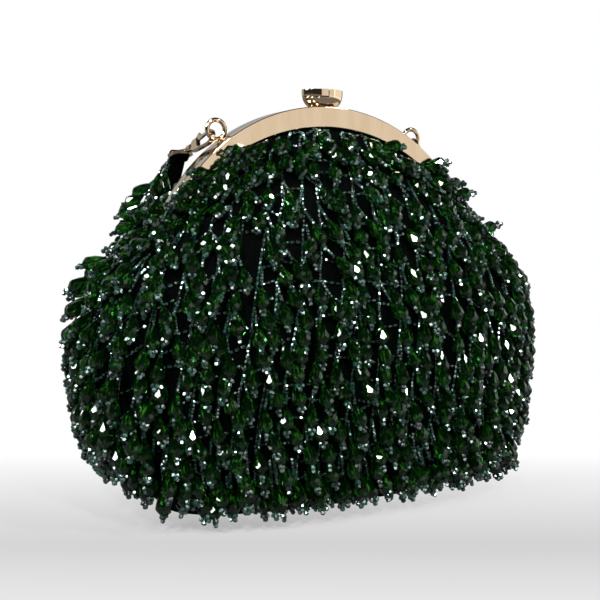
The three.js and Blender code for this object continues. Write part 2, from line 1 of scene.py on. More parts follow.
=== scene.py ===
"""A soft evening purse: cloth pouch, bead net and fringe, gold frame, clasps and beaded handle.

Lengths are in millimetres until a mesh is written, in metres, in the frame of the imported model:
+X to the right seen from the front, -Y to the front, +Z up, the surface it stands on at zero.
"""

import logging
import math
from dataclasses import dataclass, field
from enum import Enum

import bpy
import numpy as np
from mathutils import Matrix, Vector


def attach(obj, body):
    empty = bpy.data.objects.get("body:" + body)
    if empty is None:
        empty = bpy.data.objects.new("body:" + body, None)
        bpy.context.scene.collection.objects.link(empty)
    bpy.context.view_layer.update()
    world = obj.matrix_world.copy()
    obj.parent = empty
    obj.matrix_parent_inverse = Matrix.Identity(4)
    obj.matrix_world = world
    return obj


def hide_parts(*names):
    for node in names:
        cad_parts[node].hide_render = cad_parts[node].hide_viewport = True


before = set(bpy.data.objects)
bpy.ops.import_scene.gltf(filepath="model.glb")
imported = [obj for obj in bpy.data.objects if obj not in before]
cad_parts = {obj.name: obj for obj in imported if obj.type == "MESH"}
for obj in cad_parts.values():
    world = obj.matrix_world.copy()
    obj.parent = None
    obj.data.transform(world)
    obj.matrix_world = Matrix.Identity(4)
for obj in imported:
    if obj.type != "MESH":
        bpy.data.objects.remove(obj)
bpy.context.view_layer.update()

MM = 0.001
BAG = "bag"
LOG = logging.getLogger("purse")
Array = np.ndarray
Socket = bpy.types.NodeSocket


class Side(Enum):
    """Which end of the frame a clasp hangs from."""

    LEFT = -1
    RIGHT = 1

    @property
    def word(self) -> str:
        """The side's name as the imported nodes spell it."""
        return self.name.lower()


class Half(Enum):
    """Which half of the frame or of the kiss lock a piece is."""

    FRONT = 0
    BACK = 1

    @property
    def word(self) -> str:
        """The half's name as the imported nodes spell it."""
        return self.name.lower()


class Slot(Enum):
    """The record's material slots."""

    GOLD = "gold"
    CLOTH = "cloth"
    BEADS = "beads"


class Bead(Enum):
    """The shapes of bead."""

    FINE = "fine"
    ROUND = "round"
    TUBE = "tube"
    DROP = "drop"


# Small helpers


def unit(vectors: Array) -> Array:
    """Returns the vectors at a length of one."""
    return vectors / np.maximum(np.linalg.norm(vectors, axis=-1, keepdims=True), 1e-12)


def lengths_along(points: Array) -> Array:
    """Returns how far along a row of points each of them lies."""
    steps = np.linalg.norm(np.diff(points, axis=0), axis=1)
    return np.concatenate([[0], np.cumsum(steps)])


def read_along(distance: Array | float, lengths: Array, values: Array) -> Array:
    """Reads places or directions at distances along a line.

    Args:
        distance: The distances, or one of them.
        lengths: How far along the line each value lies.
        values: The values, three to a row.

    Returns:
        The values there, three to a row.
    """
    return np.stack([np.interp(distance, lengths, values[:, k]) for k in range(3)], -1)


def ease(share: Array, start: Array, end: Array, slope_start: Array, slope_end: Array) -> Array:
    """Blends from one value to the next by a cubic curve.

    Args:
        share: Shares of the way.
        start: The first value.
        end: The next value.
        slope_start: The curve's slope at the first.
        slope_end: The curve's slope at the next.

    Returns:
        The values on the way.
    """
    cubic = 2 * start - 2 * end + slope_start + slope_end
    square = 3 * end - 3 * start - 2 * slope_start - slope_end
    return ((cubic * share + square) * share + slope_start) * share + start


def linear(hex_colour: str) -> tuple[float, float, float, float]:
    """Turns an sRGB hex colour into linear light.

    Args:
        hex_colour: The colour as "#rrggbb".

    Returns:
        Red, green, blue and an alpha of one.
    """
    parts = [int(hex_colour[k : k + 2], 16) / 255 for k in (1, 3, 5)]
    light = [p / 12.92 if p <= 0.04045 else ((p + 0.055) / 1.055) ** 2.4 for p in parts]
    return (*light, 1.0)


def add_node(
    tree: bpy.types.NodeTree, kind: str, inputs: dict | None = None, **settings: object
) -> bpy.types.Node:
    """Adds one shader node.

    Args:
        tree: The node tree that the node goes in.
        kind: Blender's name of the node's type.
        inputs: Socket name or number to a value, or to the output socket that feeds it.
        **settings: Properties of the node itself.

    Returns:
        The new node.
    """
    node = tree.nodes.new(kind)
    for name, value in settings.items():
        setattr(node, name, value)
    for key, value in (inputs or {}).items():
        if isinstance(value, Socket):
            tree.links.new(value, node.inputs[key])
        else:
            node.inputs[key].default_value = value
    return node


def new_material(name: str) -> tuple[bpy.types.Material, bpy.types.NodeTree, bpy.types.Node]:
    """Starts a material with one Principled shader on its output.

    Args:
        name: What the real material is.

    Returns:
        The material, its node tree and its shader.
    """
    material = bpy.data.materials.new(name)
    material.use_nodes = True
    tree = material.node_tree
    tree.nodes.clear()
    shader = add_node(tree, "ShaderNodeBsdfPrincipled")
    add_node(tree, "ShaderNodeOutputMaterial", {"Surface": shader.outputs["BSDF"]})
    return material, tree, shader


def ramp(tree: bpy.types.NodeTree, source: Socket, stops: list[tuple[float, str]]) -> Socket:
    """Colours a value by a row of stops.

    Args:
        tree: The node tree.
        source: The value, from 0 to 1.
        stops: Position and sRGB hex colour of each stop.

    Returns:
        The colour socket.
    """
    node = add_node(tree, "ShaderNodeValToRGB", {"Fac": source})
    elements = node.color_ramp.elements
    while len(elements) < len(stops):
        elements.new(0.5)
    for element, (position, colour) in zip(elements, stops):
        element.position = position
        element.color = linear(colour)
    return node.outputs["Color"]


def start_piece(name: str) -> bpy.types.Object:
    """Names the object that an operator has just added.

    Args:
        name: The piece's name.

    Returns:
        The active object.
    """
    piece = bpy.context.active_object
    piece.name = name
    piece.data.name = name
    return piece


def deselect() -> None:
    """Leaves object mode with nothing selected."""
    if bpy.context.mode != "OBJECT":
        bpy.ops.object.mode_set(mode="OBJECT")
    bpy.ops.object.select_all(action="DESELECT")


def activate(piece: bpy.types.Object) -> None:
    """Selects one piece alone and makes it active."""
    deselect()
    piece.select_set(True)
    bpy.context.view_layer.objects.active = piece


def edit_all(piece: bpy.types.Object) -> None:
    """Opens a piece in edit mode with all of it selected."""
    activate(piece)
    bpy.ops.object.mode_set(mode="EDIT")
    bpy.ops.mesh.select_all(action="SELECT")


def apply_modifier(piece: bpy.types.Object, kind: str, **settings: object) -> None:
    """Adds a modifier to a piece and applies it.

    Args:
        piece: The piece.
        kind: Blender's name of the modifier's type.
        **settings: Properties of the modifier.
    """
    activate(piece)
    modifier = piece.modifiers.new(kind.title(), kind)
    for name, value in settings.items():
        setattr(modifier, name, value)
    bpy.ops.object.modifier_apply(modifier=modifier.name)


def read_points(piece: bpy.types.Object) -> Array:
    """Returns a piece's vertices in millimetres."""
    points = np.empty(len(piece.data.vertices) * 3)
    piece.data.vertices.foreach_get("co", points)
    return points.reshape(-1, 3) / MM


def write_points(piece: bpy.types.Object, points: Array) -> None:
    """Moves a piece's vertices to places given in millimetres."""
    piece.data.vertices.foreach_set("co", (np.asarray(points) * MM).ravel())
    piece.data.update()


def read_corners(piece: bpy.types.Object) -> Array:
    """Returns the vertex of every corner of a piece's faces."""
    corners = np.empty(len(piece.data.loops), np.int32)
    piece.data.loops.foreach_get("vertex_index", corners)
    return corners


def write_cloth_map(piece: bpy.types.Object, flat: Array) -> None:
    """Lays a piece's vertices out on its UV map, at places given in millimetres."""
    layer = piece.data.uv_layers.new(name="cloth")
    layer.data.foreach_set("uv", flat[read_corners(piece)].ravel())


def add_grid(name: str, columns: int, rows: int) -> tuple[bpy.types.Object, Array, Array]:
    """Adds a flat grid that is still to be shaped.

    Args:
        name: The piece's name.
        columns: Spaces across it.
        rows: Spaces up it.

    Returns:
        The piece, and its vertices' shares of the way across it and up it.
    """
    deselect()
    bpy.ops.mesh.primitive_grid_add(x_subdivisions=columns, y_subdivisions=rows, size=2.0)
    piece = start_piece(name)
    grid = read_points(piece) * MM
    return piece, (grid[:, 0] + 1) / 2, (grid[:, 1] + 1) / 2


def face_outward(piece: bpy.types.Object) -> None:
    """Turns all of a closed piece's faces outward."""
    edit_all(piece)
    bpy.ops.mesh.normals_make_consistent(inside=False)
    deselect()


def smooth_edges(piece: bpy.types.Object, angle: float) -> None:
    """Shades a piece smooth except across edges sharper than an angle in degrees."""
    activate(piece)
    bpy.ops.object.shade_smooth_by_angle(angle=math.radians(angle))


def round_edges(piece: bpy.types.Object, width: float, segments: int, angle: float) -> None:
    """Rounds a piece's sharp edges.

    Args:
        piece: The piece.
        width: Width of the rounding.
        segments: Faces across it.
        angle: The least turn of an edge that is rounded, in degrees.
    """
    apply_modifier(
        piece,
        "BEVEL",
        width=width * MM,
        segments=segments,
        limit_method="ANGLE",
        angle_limit=math.radians(angle),
    )


def polish(piece: bpy.types.Object, angle: float) -> None:
    """Shades metal smooth up to an angle in degrees, its flats staying flat beside round edges."""
    smooth_edges(piece, angle)
    apply_modifier(piece, "WEIGHTED_NORMAL", keep_sharp=True)


def place_piece(
    piece: bpy.types.Object,
    materials: list[bpy.types.Material],
    replaced: tuple[str, ...] = (),
    body: str = BAG,
) -> bpy.types.Object:
    """Dresses a finished piece and puts it on its body.

    Args:
        piece: The piece, with its place in its mesh.
        materials: Its materials, in the order of its faces' numbers.
        replaced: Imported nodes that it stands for.
        body: The body that it moves with.

    Returns:
        The piece.
    """
    for material in materials:
        piece.data.materials.append(material)
    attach(piece, body)
    if replaced:
        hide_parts(*replaced)
    LOG.info("%s: %d faces on %s", piece.name, len(piece.data.polygons), body)
    return piece


# Finishes


@dataclass(frozen=True)
class SatinCloth:
    """Black polyester satin, woven. Threads catch a faint green-grey sheen on a near-black ground."""

    ground: str = "#010202"
    thread: str = "#090f0d"
    thread_spacing: float = 0.9  # Real threads lie 0.15 mm apart, too fine to show
    thread_waver: float = 1.2
    relief: float = 0.15
    relief_strength: float = 0.35
    roughness: float = 0.9
    gloss: float = 0.03
    sheen: float = 0.003
    sheen_roughness: float = 0.4
    sheen_tint: str = "#4a6a5c"

    def material(self) -> bpy.types.Material:
        """Returns the cloth, with its weave on the piece's own UV map in millimetres."""
        material, tree, shader = new_material("black polyester satin, woven")
        where = add_node(tree, "ShaderNodeUVMap", uv_map="cloth")
        threads = []
        for direction in ("X", "Y"):
            wave = add_node(
                tree,
                "ShaderNodeTexWave",
                {
                    "Vector": where.outputs["UV"],
                    # One wave is 2 pi over 20 times the scale long
                    "Scale": 2 * math.pi / (20 * self.thread_spacing),
                    "Distortion": self.thread_waver,
                    "Detail": 1.0,
                },
                bands_direction=direction,
            )
            threads.append(wave.outputs["Fac"])
        weave = add_node(tree, "ShaderNodeMath", {0: threads[0], 1: threads[1]}, operation="MULTIPLY")
        colour = ramp(tree, weave.outputs["Value"], [(0.0, self.ground), (1.0, self.thread)])
        tree.links.new(colour, shader.inputs["Base Color"])
        bump = add_node(
            tree,
            "ShaderNodeBump",
            {
                "Height": weave.outputs["Value"],
                "Strength": self.relief_strength,
                "Distance": self.relief * MM,
            },
        )
        tree.links.new(bump.outputs["Normal"], shader.inputs["Normal"])
        shader.inputs["Roughness"].default_value = self.roughness
        shader.inputs["Specular IOR Level"].default_value = self.gloss
        shader.inputs["Sheen Weight"].default_value = self.sheen
        shader.inputs["Sheen Roughness"].default_value = self.sheen_roughness
        shader.inputs["Sheen Tint"].default_value = linear(self.sheen_tint)
        return material


@dataclass(frozen=True)
class CutGlass:
    """Machine-cut emerald lead glass. Flat facets throw white light; the green light inside is painted
    on as glints.
    """

    body: str = "#0b3a12"
    # Painted glint: a lighter green that stands in for light refracted inside the drop
    streak: str = "#3f9a24"
    refraction: float = 1.5
    streak_width: float = 0.8
    streak_length: float = 9.0
    streak_limits: tuple[float, float] = (0.49, 0.64)
    clearness: float = 0.94
    streak_clearness: float = 0.62

    def material(self) -> bpy.types.Material:
        """Returns the glass, with painted glints in streaks along each drop for the light inside it,
        stronger on some of its facets.
        """
        material, tree, shader = new_material("emerald glass, machine cut")
        faintest, brightest = self.streak_limits
        where = add_node(tree, "ShaderNodeAttribute", attribute_name="local")
        along = add_node(
            tree,
            "ShaderNodeMapping",
            {
                "Vector": where.outputs["Vector"],
                "Scale": (1, 1, self.streak_width / self.streak_length),
            },
        )
        noise = add_node(
            tree,
            "ShaderNodeTexNoise",
            {"Vector": along.outputs["Vector"], "Scale": 1 / self.streak_width, "Detail": 2.0},
        )
        glint_streaks = add_node(
            tree,
            "ShaderNodeMapRange",
            {"Value": noise.outputs["Fac"], "From Min": faintest, "From Max": brightest},
        )
        # Each face's random share of the painted glint
        facet = add_node(tree, "ShaderNodeAttribute", attribute_name="facet")
        lit = add_node(
            tree,
            "ShaderNodeMath",
            {0: glint_streaks.outputs["Result"], 1: facet.outputs["Fac"]},
            operation="MULTIPLY",
        )
        # Painted glint: the body turns lighter green, and the glass less clear, where light inside
        # would shine
        colour = ramp(tree, lit.outputs["Value"], [(0.0, self.body), (1.0, self.streak)])
        tree.links.new(colour, shader.inputs["Base Color"])
        clear = add_node(
            tree,
            "ShaderNodeMapRange",
            {"Value": lit.outputs["Value"], "To Min": self.clearness, "To Max": self.streak_clearness},
        )
        tree.links.new(clear.outputs["Result"], shader.inputs["Transmission Weight"])
        shader.inputs["Roughness"].default_value = 0.0
        shader.inputs["IOR"].default_value = self.refraction
        return material


@dataclass(frozen=True)
class SeedGlass:
    """Silver-lined teal seed beads, drawn glass. The lining mirrors light through dark green glass."""

    dark: str = "#05201a"
    light: str = "#377561"
    roughness: float = 0.21
    lining: float = 0.7
    coat_refraction: float = 2.1

    def material(self) -> bpy.types.Material:
        """Returns the glass, lighter or darker with each bead's own "tone" value."""
        material, tree, shader = new_material("teal seed glass, silver lined")
        tone = add_node(tree, "ShaderNodeAttribute", attribute_name="tone")
        colour = ramp(tree, tone.outputs["Fac"], [(0.0, self.dark), (1.0, self.light)])
        tree.links.new(colour, shader.inputs["Base Color"])
        shader.inputs["Metallic"].default_value = self.lining
        shader.inputs["Roughness"].default_value = self.roughness
        shader.inputs["Coat Weight"].default_value = 1.0
        shader.inputs["Coat Roughness"].default_value = self.roughness
        shader.inputs["Coat IOR"].default_value = self.coat_refraction
        return material


@dataclass(frozen=True)
class GoldPlate:
    """Pale gold plate on polished zinc. A mirror with a warm tint, faint polishing marks on it."""

    pale: str = "#ecd3b3"
    warm: str = "#e4c8a4"
    tint_limits: tuple[float, float] = (0.3, 0.7)
    roughness: float = 0.08
    roughness_drift: float = 0.4
    mark_length: float = 22.0
    mark_stretch: float = 4.0
    mark_turn: float = 35.0

    def material(self) -> bpy.types.Material:
        """Returns the plate, its tint and gloss drifting along the polishing marks."""
        material, tree, shader = new_material("pale gold plate, polished")
        where = add_node(tree, "ShaderNodeTexCoord")
        turned = add_node(
            tree,
            "ShaderNodeMapping",
            {
                "Vector": where.outputs["Object"],
                "Rotation": (0.0, math.radians(self.mark_turn), 0.0),
                "Scale": (self.mark_stretch, 1.0, 1.0),
            },
        )
        marks = add_node(
            tree,
            "ShaderNodeTexNoise",
            {"Vector": turned.outputs["Vector"], "Scale": 1 / (self.mark_length * MM), "Detail": 4.0},
        )
        stops = list(zip(self.tint_limits, (self.warm, self.pale)))
        colour = ramp(tree, marks.outputs["Fac"], stops)
        tree.links.new(colour, shader.inputs["Base Color"])
        gloss = add_node(
            tree,
            "ShaderNodeMapRange",
            {
                "Value": marks.outputs["Fac"],
                "To Min": self.roughness * (1 - self.roughness_drift),
                "To Max": self.roughness * (1 + self.roughness_drift),
            },
        )
        tree.links.new(gloss.outputs["Result"], shader.inputs["Roughness"])
        shader.inputs["Metallic"].default_value = 1.0
        return material


# Form of the pouch


@dataclass(frozen=True)
class Section:
    """One level of the pouch.

    The side and the middle of the level stand at their own heights, square is the exponent of
    its rounded outline, and fall how late it drops from the middle to the side.
    """

    side_x: float
    side_z: float
    mid_y: float
    mid_z: float
    square: float
    fall: float


@dataclass(frozen=True)
class PouchForm:
    """The cloth's outside as a surface over a row number, 0 at the mouth, and an angle round it."""

    sections: tuple[Section, ...] = (
        Section(76, 124.5, 5.3, 174.5, 6, 0.87),
        Section(79, 120, 5.3, 169.5, 6, 0.87),
        Section(88, 117.5, 9.5, 163, 4, 1.7),
        Section(99, 110.5, 21, 147, 2.9, 1.6),
        Section(107, 99, 34, 123, 2.5, 1.4),
        Section(111, 84, 42, 98, 2.4, 1.2),
        Section(112, 67, 46, 74, 2.4, 1),
        Section(110.5, 52, 46, 50, 2.4, 1),
        Section(107, 42, 43.5, 25, 2.4, 1),
        Section(97, 19, 38, 10, 2.4, 1),
        Section(80, 0, 31, 0, 2.4, 1),
    )
    arch_power: float = 2.3
    belly_row: float = 6.0
    end_gap: float = 0.01  # Rows that a normal keeps clear of the mouth and the rim
    round_steps: int = 4000

    @property
    def last_row(self) -> int:
        """The row of the base's rim."""
        return len(self.sections) - 1

    def sizes(self, row: Array) -> Array:
        """Blends the sections' sizes at any row by a smooth curve.

        Args:
            row: Row numbers.

        Returns:
            The six sizes of each row, along the last axis.
        """
        table = np.array([list(vars(section).values()) for section in self.sections], float)
        at = np.clip(row, 0, self.last_row)
        below = np.minimum(np.floor(at).astype(int), self.last_row - 1)
        share = (at - below)[..., None]
        a, b, c, d = (table[np.clip(below + k, 0, self.last_row)] for k in (-1, 0, 1, 2))
        return ease(share, b, c, (c - a) / 2, (d - b) / 2)

    def point(self, row: Array, angle: Array) -> Array:
        """Returns the places on the cloth at rows and angles."""
        row, angle = np.broadcast_arrays(np.asarray(row, float), np.asarray(angle, float))
        side_x, side_z, mid_y, mid_z, square, fall = np.moveaxis(self.sizes(row), -1, 0)
        across = np.cos(angle)
        width = np.minimum(np.abs(across), 1)
        depth = (1 - width**square) ** (1 / square)
        rise = (1 - width**self.arch_power) ** fall
        y = np.sign(np.sin(angle)) * mid_y * depth
        return np.stack([side_x * across, y, side_z + (mid_z - side_z) * rise], -1)

    def normal(self, row: Array, angle: Array) -> Array:
        """Returns the outward directions of the cloth at rows and angles."""
        step = 1e-3
        down = self.point(row + step, angle) - self.point(row - step, angle)
        round_ = self.point(row, angle + step) - self.point(row, angle - step)
        return unit(np.cross(down, round_))

    def angle_of(self, share: Array) -> Array:
        """Finds the angles at shares of the way round the belly.

        Args:
            share: Shares of its girth, 0 at the right end, then by the back, the left and the front.

        Returns:
            The angles.
        """
        fine = np.linspace(0, 2 * math.pi, self.round_steps + 1)
        length = lengths_along(self.point(self.belly_row, fine))
        turns = np.floor(share)
        return np.interp((share - turns) * length[-1], length, fine) + 2 * math.pi * turns


@dataclass
class Meridians:
    """Lines that run down the cloth from the mouth, evenly spaced round the belly.

    A slant leads the lines of the front's left part aside on their way down, and a wander makes
    every line uneven, both as shares of the girth.
    """

    form: PouchForm
    count: int
    slant: float = 0.0
    wander: float = 0.0
    seed: int = 0
    row_step: float = 0.02
    slant_middle: float = 0.66
    slant_reach: float = 0.22
    turn_rows: float = 2.0
    fall_reach: float = 6.0
    shares: Array = field(init=False)
    points: Array = field(init=False)
    normals: Array = field(init=False)
    sides: Array = field(init=False)
    arcs: Array = field(init=False)
    rows: Array = field(init=False)
    turns: Array = field(init=False)

    def __post_init__(self) -> None:
        """Works out each line's places, directions, lengths and where it turns under."""
        self.rows = np.arange(0, self.form.last_row - self.row_step / 2, self.row_step)
        self.shares = self.lead()
        angles = self.form.angle_of(self.shares)
        self.points = self.form.point(self.rows[None], angles)
        self.normals = self.form.normal(np.maximum(self.rows[None], self.form.end_gap), angles)
        self.sides = unit(np.roll(self.points, -1, 0) - np.roll(self.points, 1, 0))
        moves = np.diff(self.points, axis=1)
        lengths = np.linalg.norm(moves, axis=2)
        self.arcs = np.concatenate([np.zeros((self.count, 1)), np.cumsum(lengths, axis=1)], 1)
        outward = (moves[..., :2] * self.normals[:, :-1, :2]).sum(2)
        under = (outward <= 0) & (self.rows[None, :-1] > self.form.belly_row - self.turn_rows)
        self.turns = np.array([self.arcs[k, np.argmax(under[k])] for k in range(self.count)])

    def lead(self) -> Array:
        """Returns every line's share of the girth at every row."""
        chance = np.random.default_rng(self.seed)
        even = ((np.arange(self.count) + 0.5) / self.count)[:, None]
        bell = np.exp(-(((even - self.slant_middle) / self.slant_reach) ** 2))
        down = np.clip(self.rows / self.form.last_row, 0, 1)
        waves = sum(
            np.sin(2 * math.pi * (turns * down + chance.random((self.count, 1)))) / turns**0.5
            for turns in (1, 2, 4)
        )
        return even - self.slant * bell * down + self.wander * down**0.5 * waves

    def at(self, values: Array, line: int, arc: Array) -> Array:
        """Reads points, normals or sides of one line at lengths along it."""
        return read_along(arc, self.arcs[line], values[line])

    def arc_of_row(self, line: int, row: float) -> float:
        """Returns how far down a line a row is."""
        return float(np.interp(row, self.rows, self.arcs[line]))

    def row_of_arc(self, line: int, arc: float) -> float:
        """Returns the row at a length down a line."""
        return float(np.interp(arc, self.arcs[line], self.rows))

    def hang(self, line: int, start: float, along: Array, lies: bool) -> tuple[Array, Array]:
        """Follows a strand that lies on the cloth while it leads outwards, then hangs straight down.

        Args:
            line: The line that the strand is sewn on.
            start: Length down the line to its knot.
            along: Distances along the strand.
            lies: Whether it lies on the cloth as far as the base instead.

        Returns:
            Places on the strand's way and their outward directions.
        """
        arc = start + along
        on_cloth = np.minimum(arc, self.arcs[line, -1] if lies else max(self.turns[line], start))
        free = arc - on_cloth
        places = self.at(self.points, line, on_cloth)
        out = self.at(self.normals, line, on_cloth)
        places[:, 2] -= free
        out[:, 2] *= np.clip(1 - free / self.fall_reach, 0, 1)
        return places, unit(out)


# Beads


@dataclass
class BeadShape:
    """One modelled bead, its hole along Z, ready to be copied."""

    points: Array
    corners: Array
    starts: Array
    material: int

    @classmethod
    def from_piece(cls, piece: bpy.types.Object, material: int) -> "BeadShape":
        """Reads a modelled bead and removes its object.

        Args:
            piece: The bead.
            material: Number of its glass among a field's materials.

        Returns:
            The bead's shape.
        """
        deselect()
        mesh = piece.data
        points = read_points(piece)
        corners = read_corners(piece)
        starts = np.empty(len(mesh.polygons), np.int32)
        mesh.polygons.foreach_get("loop_start", starts)
        bpy.data.objects.remove(piece)
        bpy.data.meshes.remove(mesh)
        return cls(points, corners, starts, material)


def stack_rings(name: str, sides: int, rings: tuple[tuple[float, float], ...]) -> bpy.types.Object:
    """Models a turned piece as by hand: a cylinder, cut across, each ring then scaled and moved.

    Args:
        name: The piece's name.
        sides: Corners of each ring.
        rings: Radius and height of each ring, from the top down.

    Returns:
        The piece, about the Z axis.
    """
    deselect()
    length = 2.0
    bpy.ops.mesh.primitive_cylinder_add(vertices=sides, radius=MM, depth=length * MM)
    piece = start_piece(name)
    edit_all(piece)
    bpy.ops.mesh.select_mode(type="EDGE")
    bpy.ops.mesh.select_all(action="DESELECT")
    bpy.ops.object.mode_set(mode="OBJECT")
    for edge in piece.data.edges:
        ends = [piece.data.vertices[k].co.z for k in edge.vertices]
        edge.select = abs(ends[0] - ends[1]) > 0.5 * length * MM
    bpy.ops.object.mode_set(mode="EDIT")
    bpy.ops.mesh.subdivide(number_cuts=len(rings) - 2)
    bpy.ops.mesh.select_mode(type="VERT")
    bpy.ops.object.mode_set(mode="OBJECT")
    points = read_points(piece)
    shaped = points.copy()
    near = 0.4 * length / len(rings)
    for k, (radius, height) in enumerate(rings):
        level = length / 2 - length * k / (len(rings) - 1)
        ring = np.abs(points[:, 2] - level) < near
        shaped[ring, :2] = points[ring, :2] * radius
        shaped[ring, 2] = height
    write_points(piece, shaped)
    return piece


@dataclass(frozen=True)
class SeedBead:
    """A seed bead, its mouth given as a share of its diameter."""

    diameter: float
    length: float
    mouth: float = 0.66
    sides: int = 6

    def model(self) -> BeadShape:
        """Returns the bead, widest at its middle ring."""
        mouth = self.mouth * self.diameter / 2
        half = self.length / 2
        rings = ((mouth, half), (self.diameter / 2, 0), (mouth, -half))
        return BeadShape.from_piece(stack_rings("seed", self.sides, rings), material=0)


@dataclass(frozen=True)
class FacetTier:
    """One ring of facets on a cut drop: the tilt of their normals, a point on them, and their turn."""

    tilt: float
    radius: float
    height: float
    turn: float


@dataclass(frozen=True)
class GlassDrop:
    """A glass drop, pointed at its top, with flat facets cut all round."""

    length: float = 10.8
    sides: int = 8
    blank_radius: float = 4.0
    blank_sides: int = 24
    weld: float = 0.02
    tiers: tuple[FacetTier, ...] = (
        FacetTier(25.0, 1.55, 3.2, 0.0),
        FacetTier(17.0, 2.2, 1.6, 0.5),
        FacetTier(9.0, 2.7, -0.1, 0.0),
        FacetTier(-20.0, 2.95, -2.8, 0.5),
        FacetTier(-42.0, 1.5, -4.9, 0.0),
    )

    def model(self) -> BeadShape:
        """Returns the drop, cut facet by facet from a round blank."""
        deselect()
        bpy.ops.mesh.primitive_cylinder_add(
            vertices=self.blank_sides, radius=self.blank_radius * MM, depth=self.length * MM
        )
        piece = start_piece("drop")
        for tier in self.tiers:
            tilt = math.radians(tier.tilt)
            for k in range(self.sides):
                angle = 2 * math.pi * (k + tier.turn) / self.sides
                out = Vector((math.cos(angle), math.sin(angle), 0))
                edit_all(piece)
                bpy.ops.mesh.bisect(
                    plane_co=(out * tier.radius + Vector((0, 0, tier.height))) * MM,
                    plane_no=out * math.cos(tilt) + Vector((0, 0, math.sin(tilt))),
                    use_fill=True,
                    clear_outer=True,
                    threshold=1e-7,
                )
        edit_all(piece)
        bpy.ops.mesh.remove_doubles(threshold=self.weld * MM)
        face_outward(piece)
        return BeadShape.from_piece(piece, material=1)


def turn_frames(axes: Array, spins: Array) -> Array:
    """Makes turning matrices that stand beads along axes.

    Args:
        axes: Direction of each bead's hole.
        spins: Turn of each bead about its hole.

    Returns:
        One 3 by 3 matrix per bead.
    """
    helper = np.where(np.abs(axes[:, 2:]) > 0.9, [[1.0, 0.0, 0.0]], [[0.0, 0.0, 1.0]])
    side = unit(np.cross(helper, axes))
    front = np.cross(axes, side)
    cos, sin = np.cos(spins)[:, None], np.sin(spins)[:, None]
    return np.stack([side * cos + front * sin, front * cos - side * sin, axes], -1)


@dataclass
class BeadField:
    """Many beads of a few shapes, written as one mesh."""

    name: str
    shapes: dict[Bead, BeadShape]
    seed: int
    pattern_reach: float = 99.0
    tone_power: float = 1.6
    facet_glint_power: float = 1.5
    places: dict[Bead, list[Array]] = field(default_factory=dict)
    axes: dict[Bead, list[Array]] = field(default_factory=dict)
    spins: dict[Bead, list[Array]] = field(default_factory=dict)

    def add(self, shape: Bead, places: Array, axes: Array, spins: Array) -> None:
        """Adds beads of one shape.

        Args:
            shape: The shape.
            places: Middles of the beads.
            axes: Directions of their holes.
            spins: Turns about their holes.
        """
        self.places.setdefault(shape, []).append(places)
        self.axes.setdefault(shape, []).append(unit(axes))
        self.spins.setdefault(shape, []).append(spins)

    def write(self) -> bpy.types.Object:
        """Returns the field as one object.

        Its mesh holds a "tone" per bead, a "facet" per face that scales the drops' painted glints, and
        as
        "local" the places of every bead's points on the bead itself, each bead somewhere else in the
        pattern.
        """
        chance = np.random.default_rng(self.seed)
        points, patterns, corners, starts, numbers, tones, facets = ([] for _ in range(7))
        point_count = corner_count = 0
        for key, shape in self.shapes.items():
            if key not in self.places:
                continue
            middles = np.concatenate(self.places[key])
            turns = turn_frames(np.concatenate(self.axes[key]), np.concatenate(self.spins[key]))
            copies = len(middles)
            body = np.einsum("mij,nj->mni", turns, shape.points) + middles[:, None]
            points.append(body.reshape(-1, 3))
            shift = chance.uniform(0, self.pattern_reach, (copies, 1, 3))
            patterns.append((shape.points + shift).reshape(-1, 3))
            jump = np.arange(copies)[:, None]
            corners.append((shape.corners + point_count + jump * len(shape.points)).ravel())
            starts.append((shape.starts + corner_count + jump * len(shape.corners)).ravel())
            faces = copies * len(shape.starts)
            numbers.append(np.full(faces, shape.material))
            tones.append(np.repeat(chance.random(copies) ** self.tone_power, len(shape.points)))
            # Random share of painted glint on each face, read by the drop glass
            facets.append(chance.random(faces) ** self.facet_glint_power)
            point_count += copies * len(shape.points)
            corner_count += copies * len(shape.corners)
        mesh = bpy.data.meshes.new(self.name)
        mesh.vertices.add(point_count)
        mesh.vertices.foreach_set("co", (np.concatenate(points) * MM).ravel())
        mesh.loops.add(corner_count)
        mesh.loops.foreach_set("vertex_index", np.concatenate(corners))
        mesh.polygons.add(sum(len(s) for s in starts))
        mesh.polygons.foreach_set("loop_start", np.concatenate(starts))
        mesh.polygons.foreach_set("use_smooth", np.zeros(len(mesh.polygons), bool))
        mesh.polygons.foreach_set("material_index", np.concatenate(numbers))
        for name, domain, values in (("tone", "POINT", tones), ("facet", "FACE", facets)):
            layer = mesh.attributes.new(name, "FLOAT", domain)
            layer.data.foreach_set("value", np.concatenate(values).astype(np.float32))
        layer = mesh.attributes.new("local", "FLOAT_VECTOR", "POINT")
        layer.data.foreach_set("vector", np.concatenate(patterns).astype(np.float32).ravel())
        mesh.update(calc_edges=True)
        piece = bpy.data.objects.new(self.name, mesh)
        bpy.context.scene.collection.objects.link(piece)
        return piece


